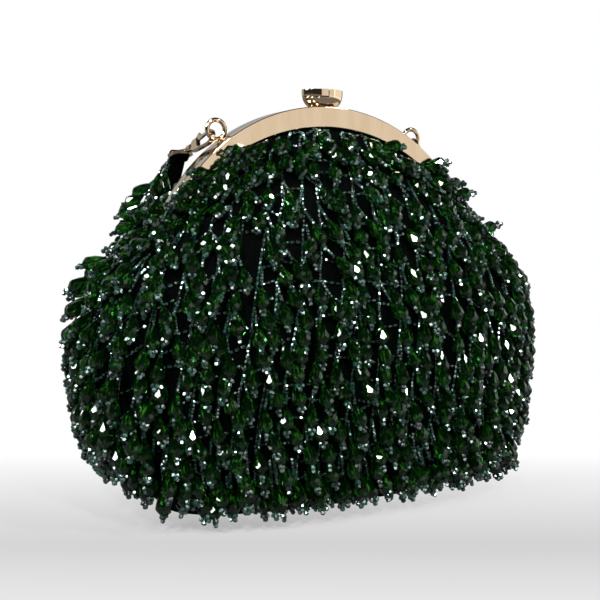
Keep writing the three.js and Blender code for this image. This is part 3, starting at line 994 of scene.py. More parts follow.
@dataclass(frozen=True)
class Strand:
    """One fringe strand: seed beads, a glass drop, and a picot of three seed beads.

    Each seed of the picot lies aside of the drop's tip and below it, and leans by an angle.
    """

    seed_pitch: float = 1.45
    drop_length: float = 10.8
    picot_length: float = 3.5
    spare: float = 4.0
    step: float = 0.5
    picot: tuple[tuple[float, float, float], ...] = (
        (-1.1, 0.8, 0.6),
        (1.1, 0.8, -0.6),
        (0.0, 2.4, 1.57),
    )

    def length(self, seeds: int) -> float:
        """Returns the length of a strand with a number of seed beads above its drop."""
        return seeds * self.seed_pitch + self.drop_length + self.picot_length

    def distances(self, length: float) -> Array:
        """Returns the distances along a strand at which its way is worked out, and a little past it."""
        return np.arange(0, length + self.spare, self.step)

    def thread(self, beads: BeadField, way: Array, seeds: int, chance: np.random.Generator) -> None:
        """Threads the beads along a way.

        Args:
            beads: The field that they go in.
            way: Places along the strand, about a step apart.
            seeds: Seed beads above the drop.
            chance: Source of small turns.
        """
        lengths = lengths_along(way)
        along = (np.arange(seeds) + 0.5) * self.seed_pitch
        before, places, after = (
            read_along(along + step, lengths, way) for step in (-self.step, 0.0, self.step)
        )
        beads.add(Bead.FINE, places, before - after, chance.uniform(0, 1, seeds))
        top = seeds * self.seed_pitch
        ends = read_along(np.array([top, top + self.drop_length]), lengths, way)
        axis = unit(ends[:1] - ends[1:])
        middle = (ends[:1] + ends[1:]) / 2
        beads.add(Bead.DROP, middle, axis, chance.uniform(0, math.pi, 1))
        tip = middle[0] - axis[0] * self.drop_length / 2
        local = turn_frames(axis, chance.uniform(0, math.pi, 1))[0]
        offsets = np.array([[x, 0, -down] for x, down, _ in self.picot])
        leans = np.array([[math.sin(lean), 0, math.cos(lean)] for _, _, lean in self.picot])
        turns = chance.uniform(0, 1, len(self.picot))
        beads.add(Bead.ROUND, tip + offsets @ local.T, leans @ local.T, turns)


# The bag's soft pieces


@dataclass
class Pouch:
    """The soft cloth bag, gathered into the frame."""

    form: PouchForm
    columns: int = 132
    levels: int = 72
    wall: float = 2.0
    folds: int = 44
    fold_depth: float = 0.9
    fold_rows: tuple[float, float] = (1.4, 5.0)
    fold_start: float = 0.6
    rim_height: float = 0.3
    base_inset: float = 8.0
    girth: float = 520.0
    drop: float = 200.0
    crease: float = 60.0

    def build(self, cloth: bpy.types.Material) -> bpy.types.Object:
        """Lofts the bag from its form, folds it under the frame and gives it its wall.

        Args:
            cloth: The satin.

        Returns:
            The bag.
        """
        piece, turn, up = add_grid("pouch_cloth", self.columns, self.levels)
        share = 1 - up
        gap = self.form.end_gap
        row = share * (self.form.last_row - 2 * gap) + gap
        angle = self.form.angle_of(turn)
        low, high = self.fold_rows
        fade = np.clip((row - low) / self.fold_start, 0, 1)
        fade = fade * np.clip((high - row) / (high - low), 0, 1)
        ripple = self.fold_depth * fade * np.cos(self.folds * 2 * math.pi * turn)
        places = self.form.point(row, angle) + self.form.normal(row, angle) * ripple[:, None]
        places[:, 2] = np.maximum(places[:, 2], 0)
        write_points(piece, places)
        write_cloth_map(piece, np.stack([turn * self.girth, share * self.drop], -1))
        edit_all(piece)
        bpy.ops.mesh.remove_doubles(threshold=0.001 * MM)
        bpy.ops.mesh.select_all(action="DESELECT")
        bpy.ops.object.mode_set(mode="OBJECT")
        for vertex in piece.data.vertices:
            vertex.select = vertex.co.z < self.rim_height * MM
        bpy.ops.object.mode_set(mode="EDIT")
        bpy.ops.mesh.edge_face_add()
        bpy.ops.mesh.inset(thickness=self.base_inset * MM)
        face_outward(piece)
        lowest = min(piece.data.polygons, key=lambda face: face.center.z)
        if lowest.normal.z > 0:
            edit_all(piece)
            bpy.ops.mesh.flip_normals()
            deselect()
        apply_modifier(piece, "SOLIDIFY", thickness=self.wall * MM, offset=-1.0)
        smooth_edges(piece, self.crease)
        return place_piece(piece, [cloth], ("pouch",))


@dataclass
class Beading:
    """The net of seed beads sewn on the cloth, and the strands that hang from its knots.

    Rows are those of the pouch's form. A strand stands off the cloth by its lift, further at the
    bag's sides (side_) and low down (low_), and ends above the floor and the bag's round corners
    (corner_). Short strings cross the net (rung_). More strands cover the lower ends of the frame
    (collar_) and the cloth's lower edge (hem_).
    """

    form: PouchForm
    shapes: dict[Bead, BeadShape]
    lines: int = 60
    slant: float = 0.09
    wander: float = 0.0024
    pitch: float = 8.6
    first_row: float = 1.2
    last_row: float = 8.7
    tier_rows: tuple[float, ...] = (1.0, 2.6, 3.5, 4.4, 5.4, 6.6, 8.0)
    lift: tuple[float, float] = (1.3, 6.0)
    lying_lift: tuple[float, float] = (1.3, 4.0)
    lift_power: float = 1.3
    side_lift: dict[Side, float] = field(default_factory=lambda: {Side.LEFT: 10.0, Side.RIGHT: 1.0})
    side_from: float = 65.0
    side_reach: float = 40.0
    side_row: float = 3.9
    side_rows: float = 2.0
    low_lift: tuple[float, float, float] = (8.0, 12.0, 2.0)
    low_rows: tuple[float, float] = (5.8, 7.7)
    low_right: tuple[float, float, float] = (0.0, 55.0, 90.0)
    seed_counts: tuple[int, ...] = (5, 6, 6, 6, 7)
    short_counts: tuple[int, ...] = (1, 2, 3, 4)
    knot_slip: float = 0.5
    nudge: float = 2.1
    swing: tuple[float, float] = (0.05, 0.45)
    curl: float = 0.9
    curl_power: float = 1.5
    unevenness: float = 0.8
    stray_share: float = 0.11
    stray_lift: tuple[float, float] = (4.0, 15.0)
    short_rows: float = 2.6
    floor_room: float = 0.4
    floor_uneven: float = 1.0
    corner_from: tuple[float, float] = (90.0, 77.0)
    corner_rise: tuple[float, float] = (33.0, 42.0)
    corner_reach: float = 30.0
    corner_power: float = 1.6
    net_off: float = 0.8
    net_pitch: float = 2.2
    net_seed: int = 40
    net_samples: int = 160
    net_look: float = 0.4
    rung_share: tuple[float, float] = (0.25, 0.75)
    rung_rows: tuple[float, float] = (1.5, 4.5)
    rung_slope: float = 1.6
    rung_trim: float = 0.12
    fall_lines: int = 256
    collar_from: dict[Side, float] = field(default_factory=lambda: {Side.LEFT: 25.0, Side.RIGHT: 38.0})
    collar_step: float = 1.5
    collar_counts: tuple[int, ...] = (0, 0, 1, 2)
    collar_lift: tuple[float, float] = (1.0, 2.8)
    collar_rise: float = 4.0
    collar_stray: float = 0.12
    collar_inset: float = 1.0
    collar_lean: tuple[float, float] = (30.0, 115.0)
    collar_along: float = 65.0
    collar_along_to: dict[Side, float] = field(
        default_factory=lambda: {Side.LEFT: 47.0, Side.RIGHT: 0.0}
    )
    collar_back_from: float = 50.0
    hem_strands: int = 160
    hem_rows: tuple[float, float] = (7.6, 8.5)
    hem_seeds: int = 9
    seed: int = 7
    net: Meridians = field(init=False)
    falls: Meridians = field(init=False)
    strand: Strand = field(init=False)
    chance: np.random.Generator = field(init=False)

    def __post_init__(self) -> None:
        """Lays the lines that the net follows, and those that strands fall along."""
        self.net = Meridians(self.form, self.lines, self.slant, self.wander, self.seed)
        self.falls = Meridians(self.form, self.fall_lines)
        self.strand = Strand()
        self.chance = np.random.default_rng(self.seed)

    def knots(self) -> list[tuple[int, int, float]]:
        """Returns line, step and length down the line of every knot."""
        found = []
        for line in range(self.lines):
            top = self.net.arc_of_row(line, self.first_row)
            end = self.net.arc_of_row(line, self.last_row)
            for step in range(int((end - top) / self.pitch) + 1):
                found.append((line, step, top + step * self.pitch))
        return found

    def fall_of(self, line: int, arc: float) -> tuple[int, float]:
        """Finds the straight fall below a knot.

        Args:
            line: The net's line that the knot is on.
            arc: Length down that line to the knot.

        Returns:
            The fall's number, and the length down it to the knot.
        """
        row = self.net.row_of_arc(line, arc)
        share = float(np.interp(row, self.net.rows, self.net.shares[line]))
        fall = int(share * self.fall_lines) % self.fall_lines
        return fall, self.falls.arc_of_row(fall, row)

    def way(self, fall: int, arc: float, length: float, nudge: float, lies: bool) -> Array:
        """Lets one strand hang, with its own small swing.

        Args:
            fall: The line that it falls along.
            arc: Length down the line to its knot.
            length: The strand's length.
            nudge: How far the strands around it push it aside.
            lies: Whether it lies on the cloth.

        Returns:
            Places along it.
        """
        along = self.strand.distances(length)
        share = along / length
        base, out = self.falls.hang(fall, arc, along, lies)
        side = self.falls.at(self.falls.sides, fall, np.array([arc]))[0]
        flatness = max(self.falls.at(self.falls.normals, fall, np.array([arc]))[0, 2], 0)
        swing = self.chance.normal(0, self.swing[0] + self.swing[1] * flatness)
        curl = nudge + self.chance.normal(0, self.curl)
        stray = self.chance.normal(0, self.unevenness)
        if self.chance.random() < self.stray_share:
            stray = self.chance.uniform(*self.stray_lift)
        first, last = self.lying_lift if lies else self.lift
        beside, forward = (0, 0) if lies else self.pushed(fall, arc)
        rise = share**self.lift_power
        off = first + (last - first + beside) * rise + stray * share**2
        aside = swing * along + curl * np.minimum(share * 2, 1) ** self.curl_power
        way = base + out * off[:, None] + side * aside[:, None]
        way[:, 1] += forward * rise
        return way

    def pushed(self, fall: int, arc: float) -> tuple[float, float]:
        """Works out how far the strands below push one off the cloth.

        Args:
            fall: The line that it falls along.
            arc: Length down the line to its knot.

        Returns:
            How far off the cloth at the bag's sides, and how far to the front or back low down.
        """
        row = self.falls.row_of_arc(fall, arc)
        place = self.falls.at(self.falls.points, fall, np.array([arc]))[0]
        facing = self.falls.at(self.falls.normals, fall, np.array([arc]))[0, 1]
        side = Side.LEFT if place[0] < 0 else Side.RIGHT
        beside = min(max((abs(place[0]) - self.side_from) / self.side_reach, 0), 1)
        beside *= math.exp(-(((row - self.side_row) / self.side_rows) ** 2))
        low = float(np.interp(row, self.low_rows, (0, 1))) * facing
        forward = float(np.interp(place[0], self.low_right, self.low_lift))
        return self.side_lift[side] * beside, forward * low

    def clears_floor(self, way: Array, room: float, lies: bool) -> bool:
        """Tells whether a strand ends above the floor and, hanging, above the bag's round corners.

        Args:
            way: Places along it.
            room: How far above them it has to end.
            lies: Whether it lies on the cloth, which leads it round the corners.

        Returns:
            Whether it does.
        """
        past = np.stack([-way[:, 0], way[:, 0]], -1) - self.corner_from
        steep = np.maximum(past / self.corner_reach, 0) ** self.corner_power
        rise = steep @ np.array(self.corner_rise)
        return bool((way[:, 2] > room + (0 if lies else rise)).all())

    def tier_of(self, line: int, arc: float) -> int:
        """Returns the number of the fringe tier that a knot belongs to."""
        row = self.net.row_of_arc(line, arc)
        return max(sum(row >= start for start in self.tier_rows) - 1, 0)

    def build_fringe(self, arch: "PurseFrame", materials: list[bpy.types.Material]) -> None:
        """Hangs a strand from every knot and writes one piece per tier.

        Args:
            arch: The frame, whose lower edge the top strands lie against.
            materials: Seed glass and drop glass.
        """
        tiers = [
            BeadField(f"fringe_strands_{k + 1}", self.shapes, self.seed + k)
            for k in range(len(self.tier_rows))
        ]
        for line, step, arc in self.knots():
            seeds = int(self.chance.choice(self.seed_counts))
            if self.net.row_of_arc(line, arc) < self.short_rows:
                seeds = int(self.chance.choice(self.short_counts))
            nudge = self.nudge if step % 2 else -self.nudge
            fall, start = self.fall_of(line, arc)
            self.hang_strand(tiers[self.tier_of(line, arc)], fall, start, seeds, nudge)
        for k in range(self.hem_strands):
            fall = int((k + 0.5) / self.hem_strands * self.fall_lines)
            start = self.falls.arc_of_row(fall, self.chance.uniform(*self.hem_rows))
            self.hang_strand(tiers[-1], fall, start, self.hem_seeds, 0.0)
        self.add_collar(tiers[0], arch)
        for number, tier in enumerate(tiers, 1):
            place_piece(tier.write(), materials, (f"fringe_tier_{number}",))

    def hang_strand(self, beads: BeadField, fall: int, arc: float, seeds: int, nudge: float) -> None:
        """Hangs one strand, with fewer seeds, or lying on the cloth, where it would reach too low.

        Args:
            beads: The field that it goes in.
            fall: The line that it falls along.
            arc: Length down the line to its knot.
            seeds: Seed beads above its drop.
            nudge: How far the strands around it push it aside.
        """
        room = self.floor_room + abs(self.chance.normal(0, self.floor_uneven))
        for lies in (False, True):
            for kept in range(seeds, -1, -1):
                length = self.strand.length(kept)
                knot = arc + self.chance.normal(0, self.knot_slip)
                way = self.way(fall, knot, length, nudge, lies)
                if self.clears_floor(way[: int(length / self.strand.step) + 1], room, lies):
                    self.strand.thread(beads, way, kept, self.chance)
                    return

    def add_collar(self, beads: BeadField, arch: "PurseFrame") -> None:
        """Lays short strands from under the frame out over the lower ends of its plates.

        Args:
            beads: The field that they go in.
            arch: The frame.
        """
        first, last = self.collar_lift
        for face in (-1, 1):
            for side in Side:
                start = self.collar_from[side] if face < 0 else self.collar_back_from
                for degrees in np.arange(start, arch.half_angle, self.collar_step):
                    angle = math.radians(degrees)
                    radial = np.array([side.value * math.sin(angle), 0, math.cos(angle)])
                    down = np.array([side.value * math.cos(angle), 0, -math.sin(angle)])
                    least, most = self.collar_lean
                    if degrees < self.collar_along_to[side]:
                        least = self.collar_along
                    lean = math.radians(self.chance.uniform(least, most))
                    run = radial * math.cos(lean) + down * math.sin(lean)
                    seeds = int(self.chance.choice(self.collar_counts))
                    along = self.strand.distances(self.strand.length(seeds))
                    off = first + last * np.minimum(along / self.collar_rise, 1)
                    off = off + self.chance.uniform(0, self.collar_stray) * along
                    foot = radial * (arch.radius - arch.plate_width(degrees) - self.collar_inset)
                    foot = foot + [0, face * arch.half_depth, arch.centre]
                    way = foot + run * along[:, None] + np.array([0, face, 0]) * off[:, None]
                    self.strand.thread(beads, way, seeds, self.chance)

    def string(self, beads: BeadField, places: Array) -> None:
        """Strings seed beads along a row of places.

        Args:
            beads: The field that they go in.
            places: Points of the thread.
        """
        along = lengths_along(places)
        count = int(along[-1] / self.net_pitch)
        if count < 1:
            return
        at = (np.arange(count) + 0.5) * along[-1] / count
        before, middles, after = (
            read_along(at + step, along, places) for step in (-self.net_look, 0.0, self.net_look)
        )
        beads.add(Bead.TUBE, middles, after - before, self.chance.uniform(0, 1, count))

    def build_net(self, materials: list[bpy.types.Material]) -> None:
        """Sews the net: a string down every line, and short strings across from knot to knot.

        Args:
            materials: Seed glass.
        """
        half = self.lines // 2
        nets = [BeadField(f"bead_net_{k + 1}", self.shapes, self.net_seed + k) for k in range(2)]
        knots = {(line, step): arc for line, step, arc in self.knots()}
        for line in range(self.lines):
            arcs = [arc for (k, _), arc in knots.items() if k == line]
            along = np.linspace(min(arcs), max(arcs), self.net_samples)
            places = self.net.at(self.net.points, line, along)
            normals = self.net.at(self.net.normals, line, along)
            self.string(nets[line // half], places + normals * self.net_off)
        for (line, step), arc in knots.items():
            beside = (line + 1) % self.lines
            kept = np.interp(self.net.row_of_arc(line, arc), self.rung_rows, self.rung_share)
            if (beside, step) not in knots or self.chance.random() > kept:
                continue
            ends = []
            for k, length in ((line, arc), (beside, knots[beside, step])):
                length += self.chance.normal(0, self.rung_slope)
                place = self.net.at(self.net.points, k, np.array([length]))[0]
                out = self.net.at(self.net.normals, k, np.array([length]))[0]
                ends.append(place + out * self.net_off)
            cut = (ends[1] - ends[0]) * self.rung_trim
            self.string(nets[line // half], np.stack([ends[0] + cut, ends[1] - cut]))
        for net in nets:
            place_piece(net.write(), materials)


# Metal


def polished_copy(node: str, name: str, edge: float = 0.25) -> bpy.types.Object:
    """Copies a packed metal node, joins its loose triangles and rounds its edges.

    Args:
        node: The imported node.
        name: The new piece's name.
        edge: Width of the rounding.

    Returns:
        The copy.
    """
    deselect()
    piece = bpy.data.objects.new(name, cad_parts[node].data.copy())
    bpy.context.scene.collection.objects.link(piece)
    piece.data.name = name
    piece.data.materials.clear()
    edit_all(piece)
    bpy.ops.mesh.customdata_custom_splitnormals_clear()
    bpy.ops.mesh.remove_doubles(threshold=0.001 * MM)
    bpy.ops.mesh.dissolve_limited(angle_limit=math.radians(2))
    deselect()
    round_edges(piece, edge, segments=3, angle=40)
    polish(piece, angle=38)
    return piece


def join_pieces(first: bpy.types.Object, *others: bpy.types.Object) -> None:
    """Joins pieces into the first one."""
    activate(first)
    for other in others:
        other.select_set(True)
    bpy.ops.object.join()


@dataclass
class PurseFrame:
    """The arched frame: two bent sheet halves, the back one with two soldered rings, and its rivets."""

    radius: float = 87.0
    top: float = 180.0
    half_angle: float = 66.5
    plate_top: float = 9.5
    plate_end: float = 3.0
    half_depth: float = 7.0
    sheet: float = 1.4
    parting: float = 0.15
    steps: int = 84
    edge: float = 0.45
    ring_angle: float = 35.0
    ring_radius: float = 4.3
    ring_wire: float = 1.05
    ring_sides: int = 40
    wire_sides: int = 14
    ring_sink: float = 0.6
    ring_y: float = 3.5

    @property
    def centre(self) -> float:
        """Height of the arch's centre."""
        return self.top - self.radius

    def build(self, gold: bpy.types.Material) -> None:
        """Bends both halves, solders the rings on and sets the rivets.

        Args:
            gold: The plate's finish.
        """
        for half in Half:
            piece = self.bend_half(half)
            if half is Half.BACK:
                join_pieces(piece, *(self.ring(side) for side in Side))
            polish(piece, angle=35)
            place_piece(piece, [gold], (f"frame_{half.word}",))
        for side in Side:
            rivet = polished_copy(f"{side.word}_hinge_rivet", f"{side.word}_rivet")
            place_piece(rivet, [gold], (f"{side.word}_hinge_rivet",))

    def plate_width(self, degrees: Array) -> Array:
        """Returns the plate's width at angles from the top of the arch."""
        share = degrees / self.half_angle
        return self.plate_top + (self.plate_end - self.plate_top) * share**2

    def bend_half(self, half: Half) -> bpy.types.Object:
        """Spins the sheet's angled section round the arch.

        Args:
            half: Which half.

        Returns:
            The half, its plate widest at the top.
        """
        outer, inner = self.radius, self.radius - self.sheet
        front, back = -self.half_depth, -self.half_depth + self.sheet
        low = self.radius - self.plate_top
        section = [
            (outer, -self.parting),
            (outer, front),
            (low, front),
            (low, back),
            (inner, back),
            (inner, -self.parting),
        ]
        deselect()
        bpy.ops.mesh.primitive_circle_add(vertices=len(section), radius=MM, fill_type="NOTHING")
        piece = start_piece(f"frame_{half.word}_arch")
        first = math.radians(-self.half_angle)
        write_points(
            piece,
            [(r * math.sin(first), y, self.centre + r * math.cos(first)) for r, y in section],
        )
        edit_all(piece)
        bpy.ops.mesh.spin(
            steps=self.steps,
            angle=math.radians(2 * self.half_angle),
            center=(0, 0, self.centre * MM),
            axis=(0, -1, 0),
        )
        bpy.ops.mesh.select_all(action="SELECT")
        bpy.ops.mesh.fill_holes(sides=len(section))
        face_outward(piece)
        points = read_points(piece)
        angle = np.arctan2(points[:, 0], points[:, 2] - self.centre)
        reach = np.hypot(points[:, 0], points[:, 2] - self.centre)
        width = self.plate_width(np.degrees(angle))
        reach = np.where(reach < inner - self.sheet / 2, self.radius - width, reach)
        points[:, 0] = reach * np.sin(angle)
        points[:, 2] = self.centre + reach * np.cos(angle)
        if half is Half.BACK:
            points[:, :2] *= -1
        write_points(piece, points)
        round_edges(piece, self.edge, segments=3, angle=40)
        return piece

    def ring(self, side: Side) -> bpy.types.Object:
        """Returns the round wire ring on one side of the back half."""
        reach = self.radius + self.ring_radius + self.ring_wire - self.ring_sink
        angle = side.value * math.radians(self.ring_angle)
        place = Vector((reach * math.sin(angle), self.ring_y, self.centre + reach * math.cos(angle)))
        deselect()
        bpy.ops.mesh.primitive_torus_add(
            major_segments=self.ring_sides,
            minor_segments=self.wire_sides,
            major_radius=self.ring_radius * MM,
            minor_radius=self.ring_wire * MM,
            location=place * MM,
            rotation=(math.pi / 2, 0, 0),
        )
        ring = start_piece(f"{side.word}_ring")
        bpy.ops.object.transform_apply(location=True, rotation=True, scale=True)
        bpy.ops.object.shade_smooth()
        return ring


@dataclass
class KissLock:
    """The clasp on top: two halves of one oval bowl, each reaching over the other's foot."""

    base: float = 180.3
    foot: float = 7.4
    rim: float = 10.4
    bulge: float = 3.2
    height: float = 7.8
    seam: float = 4.2
    depth_ratio: float = 0.62
    clear: float = 0.15
    edge: float = 0.12
    sides: int = 96
    levels: int = 8
    spare: float = 5.0

    def build(self, gold: bpy.types.Material) -> None:
        """Turns the bowl, parts it into its two halves and rounds their edges.

        Args:
            gold: The plate's finish.
        """
        for half in Half:
            piece = self.bowl(f"lock_{half.word}")
            self.part(piece)
            if half is Half.BACK:
                points = read_points(piece)
                points[:, :2] *= -1
                write_points(piece, points)
            round_edges(piece, self.edge, segments=2, angle=35)
            polish(piece, angle=32)
            place_piece(piece, [gold], (f"kiss_lock_{half.word}",))

    def bowl(self, name: str) -> bpy.types.Object:
        """Returns the whole bowl, its side bulging from foot to rim."""
        rings = []
        for k in range(self.levels + 1):
            share = 1 - k / self.levels
            radius = self.rim - (self.rim - self.foot) * (1 - share) ** self.bulge
            rings.append((radius, self.base + self.height * share))
        piece = stack_rings(name, self.sides, tuple(rings))
        write_points(piece, read_points(piece) * [1, self.depth_ratio, 1])
        return piece

    def part(self, piece: bpy.types.Object) -> None:
        """Cuts away what belongs to the other half of the bowl.

        Args:
            piece: The whole bowl.
        """
        reach, low, high = 2 * self.rim, self.base - self.spare, self.base + 2 * self.height
        seam, clear = self.base + self.seam, self.clear
        room = (
            ((clear, -reach, low), (reach, -clear, high)),
            ((clear, -reach, seam + clear), (reach, reach, high)),
            ((-reach, -reach, low), (reach, -clear, seam - clear)),
        )
        blocks = [self.block(a, b) for a, b in room]
        for block in blocks[1:]:
            apply_modifier(blocks[0], "BOOLEAN", operation="UNION", object=block, solver="EXACT")
        apply_modifier(piece, "BOOLEAN", operation="INTERSECT", object=blocks[0], solver="EXACT")
        for block in blocks:
            bpy.data.objects.remove(block)

    def block(self, low: tuple[float, ...], high: tuple[float, ...]) -> bpy.types.Object:
        """Returns a cutting block between two corners."""
        deselect()
        a, b = Vector(low) * MM, Vector(high) * MM
        bpy.ops.mesh.primitive_cube_add(size=1.0, location=(a + b) / 2)
        block = start_piece("cutting_block")
        block.scale = b - a
        bpy.ops.object.transform_apply(location=True, rotation=True, scale=True)
        return block


@dataclass
class Clasps:
    """The two lobster clasps: claw, sprung lever and swivel eye."""

    def build(self, gold: bpy.types.Material) -> None:
        """Polishes every part of both clasps; each lever stays on its own body.

        Args:
            gold: The plate's finish.
        """
        for side in Side:
            for part in ("claw", "lever", "swivel_eye"):
                node = f"{side.word}_{part}"
                piece = polished_copy(node, f"{node}_polished")
                body = node if part == "lever" else BAG
                place_piece(piece, [gold], (node,), body)


# Handle


@dataclass(frozen=True)
class Stop:
    """One point of the strap's route and the direction of its width there."""

    place: tuple[float, float, float]
    width: tuple[float, float, float]


def smooth_route(points: Array, count: int) -> Array:
    """Draws a centripetal curve through points.

    Args:
        points: Points of the route, or directions at them, beside their own spacing points.
        count: How many samples each span gets.

    Returns:
        Samples of the first three columns; columns four to six set the spacing.
    """
    ends = np.concatenate([[2 * points[0] - points[1]], points, [2 * points[-1] - points[-2]]])
    spaces = np.sqrt(np.linalg.norm(np.diff(ends[:, 3:], axis=0), axis=1))
    share = np.linspace(0, 1, count, endpoint=False)[:, None]
    samples = []
    for k in range(1, len(ends) - 2):
        a, b, c, d = ends[k - 1 : k + 3, :3]
        before, span, after = spaces[k - 1 : k + 2]
        slope_b = ((b - a) / before - (c - a) / (before + span) + (c - b) / span) * span
        slope_c = ((c - b) / span - (d - b) / (span + after) + (d - c) / after) * span
        samples.append(ease(share, b, c, slope_b, slope_c))
    return np.concatenate([*samples, points[-1:, :3]])


@dataclass
class Handle:
    """The cloth strap that hangs behind the bag between the clasps, with its own beads.

    Near the eyes its strands are longer and stand off more (end_), and more of them hang from its
    outer edge (edge_).
    """

    shapes: dict[Bead, BeadShape]
    width: float = 12.0
    thickness: float = 2.6
    sleeve_half: float = 3.9
    sleeve_outer: float = 2.7
    sleeve_inner: float = 1.45
    sleeve_sides: int = 28
    taper: float = 0.07
    steps: int = 150
    around: int = 20
    section_power: float = 0.45
    crease: float = 50.0
    span_samples: int = 60
    bar: tuple[float, float, float] = (-61.856, 25.551, 157.435)
    route: tuple[Stop, ...] = (
        Stop((-62.085, 26.458, 155.583), (0.958, 0.286, 0.022)),
        Stop((-65, 38, 132), (0.8, 0.6, 0)),
        Stop((-66, 51, 105), (0.55, 0.84, 0)),
        Stop((-57, 60, 78), (0.3, 0.95, 0)),
        Stop((-34, 63.5, 57), (0.12, 0.99, 0)),
        Stop((0, 64, 49), (0, 1, 0)),
    )
    strings: int = 5
    string_spread: float = 0.84
    string_off: float = 0.8
    pitch: float = 5.0
    bare_ends: float = 1.0
    first_knot: float = 6.5
    seed_counts: tuple[int, ...] = (3, 4, 5)
    lift: tuple[float, float] = (1.0, 4.5)
    lift_power: float = 1.3
    lift_stray: float = 1.0
    splay: float = 1.5
    sway: float = 0.12
    end_lift: float = 16.0
    end_splay: float = 3.0
    end_middle: float = 25.0
    end_reach: float = 32.0
    end_seeds: int = 4
    edge_knots: tuple[float, float, float] = (0.5, 30.0, 1.6)
    edge_drift: tuple[float, float] = (-10.0, 3.0)
    edge_bend: float = 5.0
    edge_off: float = 0.6
    edge_counts: tuple[int, ...] = (3, 4, 5, 6)
    seed: int = 23
    length: float = field(init=False)
    along: Array = field(init=False)
    places: Array = field(init=False)
    tangents: Array = field(init=False)
    across: Array = field(init=False)
    outs: Array = field(init=False)
    chance: np.random.Generator = field(init=False)

    def __post_init__(self) -> None:
        """Lays the strap's middle line, its width and its outward face, evenly along its length."""
        half = [np.array([*stop.place, *unit(np.array(stop.width, float))]) for stop in self.route]
        mirror = np.array([-1, 1, 1, -1, 1, -1])
        stops = np.array(half + [stop * mirror for stop in half[-2::-1]])
        places, widths = (
            smooth_route(np.concatenate([values, stops[:, :3]], 1), self.span_samples)
            for values in (stops[:, :3], stops[:, 3:])
        )
        along = lengths_along(places)
        self.length = float(along[-1])
        self.along = np.linspace(0, self.length, self.steps + 1)
        self.places = read_along(self.along, along, places)
        self.tangents = unit(np.gradient(self.places, axis=0))
        across = read_along(self.along, along, widths)
        across -= self.tangents * (across * self.tangents).sum(1, keepdims=True)
        self.across = unit(across)
        self.outs = np.cross(self.across, self.tangents)
        self.chance = np.random.default_rng(self.seed)

    def at(self, values: Array, along: float) -> Array:
        """Reads places or directions at a length along the strap."""
        return read_along(along, self.along, values)

    def build(self, cloth: bpy.types.Material, glass: list[bpy.types.Material]) -> None:
        """Sews the strap and its beads.

        Args:
            cloth: The satin.
            glass: Seed glass and drop glass.
        """
        strap = self.sew_strap()
        join_pieces(strap, *(self.sleeve(side) for side in Side))
        smooth_edges(strap, self.crease)
        place_piece(strap, [cloth], ("handle_strap",))
        place_piece(self.bead().write(), glass, ("handle_fringe",))

    def half_width(self, along: Array) -> Array:
        """Returns half the strap's width at lengths along it, narrower towards the eyes."""
        full = np.minimum(np.minimum(along, self.length - along) / (self.taper * self.length), 1)
        return self.sleeve_half + (self.width / 2 - self.sleeve_half) * full

    def sew_strap(self) -> bpy.types.Object:
        """Returns the strap, a soft oblong section swept along the route."""
        piece, turn, up = add_grid("handle_cloth", self.around, self.steps)
        angle = turn * 2 * math.pi
        step = np.rint(up * self.steps).astype(int)
        half = self.half_width(self.along[step])
        power = self.section_power
        side = np.sign(np.cos(angle)) * np.abs(np.cos(angle)) ** power * half
        face = np.sign(np.sin(angle)) * np.abs(np.sin(angle)) ** power * self.thickness / 2
        places = self.places[step] + self.across[step] * side[:, None] + self.outs[step] * face[:, None]
        write_points(piece, places)
        girth = 2 * (self.width + self.thickness)
        write_cloth_map(piece, np.stack([turn * girth, self.along[step]], -1))
        edit_all(piece)
        bpy.ops.mesh.remove_doubles(threshold=0.01 * MM)
        bpy.ops.mesh.fill_holes(sides=self.around + 1)
        face_outward(piece)
        return piece

    def sleeve(self, side: Side) -> bpy.types.Object:
        """Returns the loop that the strap's end makes round the bar of one eye."""
        mirror = np.array([-side.value, 1, 1])
        axis = Vector(np.array(self.route[0].width) * mirror * -side.value)
        deselect()
        bpy.ops.mesh.primitive_cylinder_add(
            vertices=self.sleeve_sides,
            radius=self.sleeve_outer * MM,
            depth=2 * self.sleeve_half * MM,
            end_fill_type="NOTHING",
            location=Vector(np.array(self.bar) * mirror) * MM,
            rotation=axis.to_track_quat("Z", "Y").to_euler(),
        )
        piece = start_piece(f"{side.word}_sleeve")
        bpy.ops.object.transform_apply(location=True, rotation=True, scale=True)
        wall = self.sleeve_outer - self.sleeve_inner
        apply_modifier(piece, "SOLIDIFY", thickness=wall * MM, offset=-1.0)
        return piece

    def bead(self) -> BeadField:
        """Returns the strap's beads: strings along its outside, and strands from their knots."""
        beads = BeadField("handle_strands", self.shapes, self.seed)
        strand = Strand()
        face = self.thickness / 2
        knots = np.arange(self.first_knot, self.length - self.first_knot, self.pitch)
        for string in range(self.strings):
            spread = (2 * string / (self.strings - 1) - 1) * self.string_spread
            along = np.arange(self.bare_ends, self.length - self.bare_ends, strand.seed_pitch)
            for length in along:
                across = spread * self.half_width(length)
                place = self.at(self.places, length) + self.at(self.across, length) * across
                place = place + self.at(self.outs, length) * (face + self.string_off)
                axis = self.at(self.tangents, length)
                beads.add(Bead.FINE, place[None], axis[None], self.chance.uniform(0, 1, 1))
            if string % 2 == 0:
                for length in knots:
                    self.hang(beads, strand, length, spread * self.half_width(length))
        edge = np.arange(*self.edge_knots)
        for length in np.concatenate([edge, self.length - edge]):
            self.hang_edge(beads, strand, float(length))
        return beads

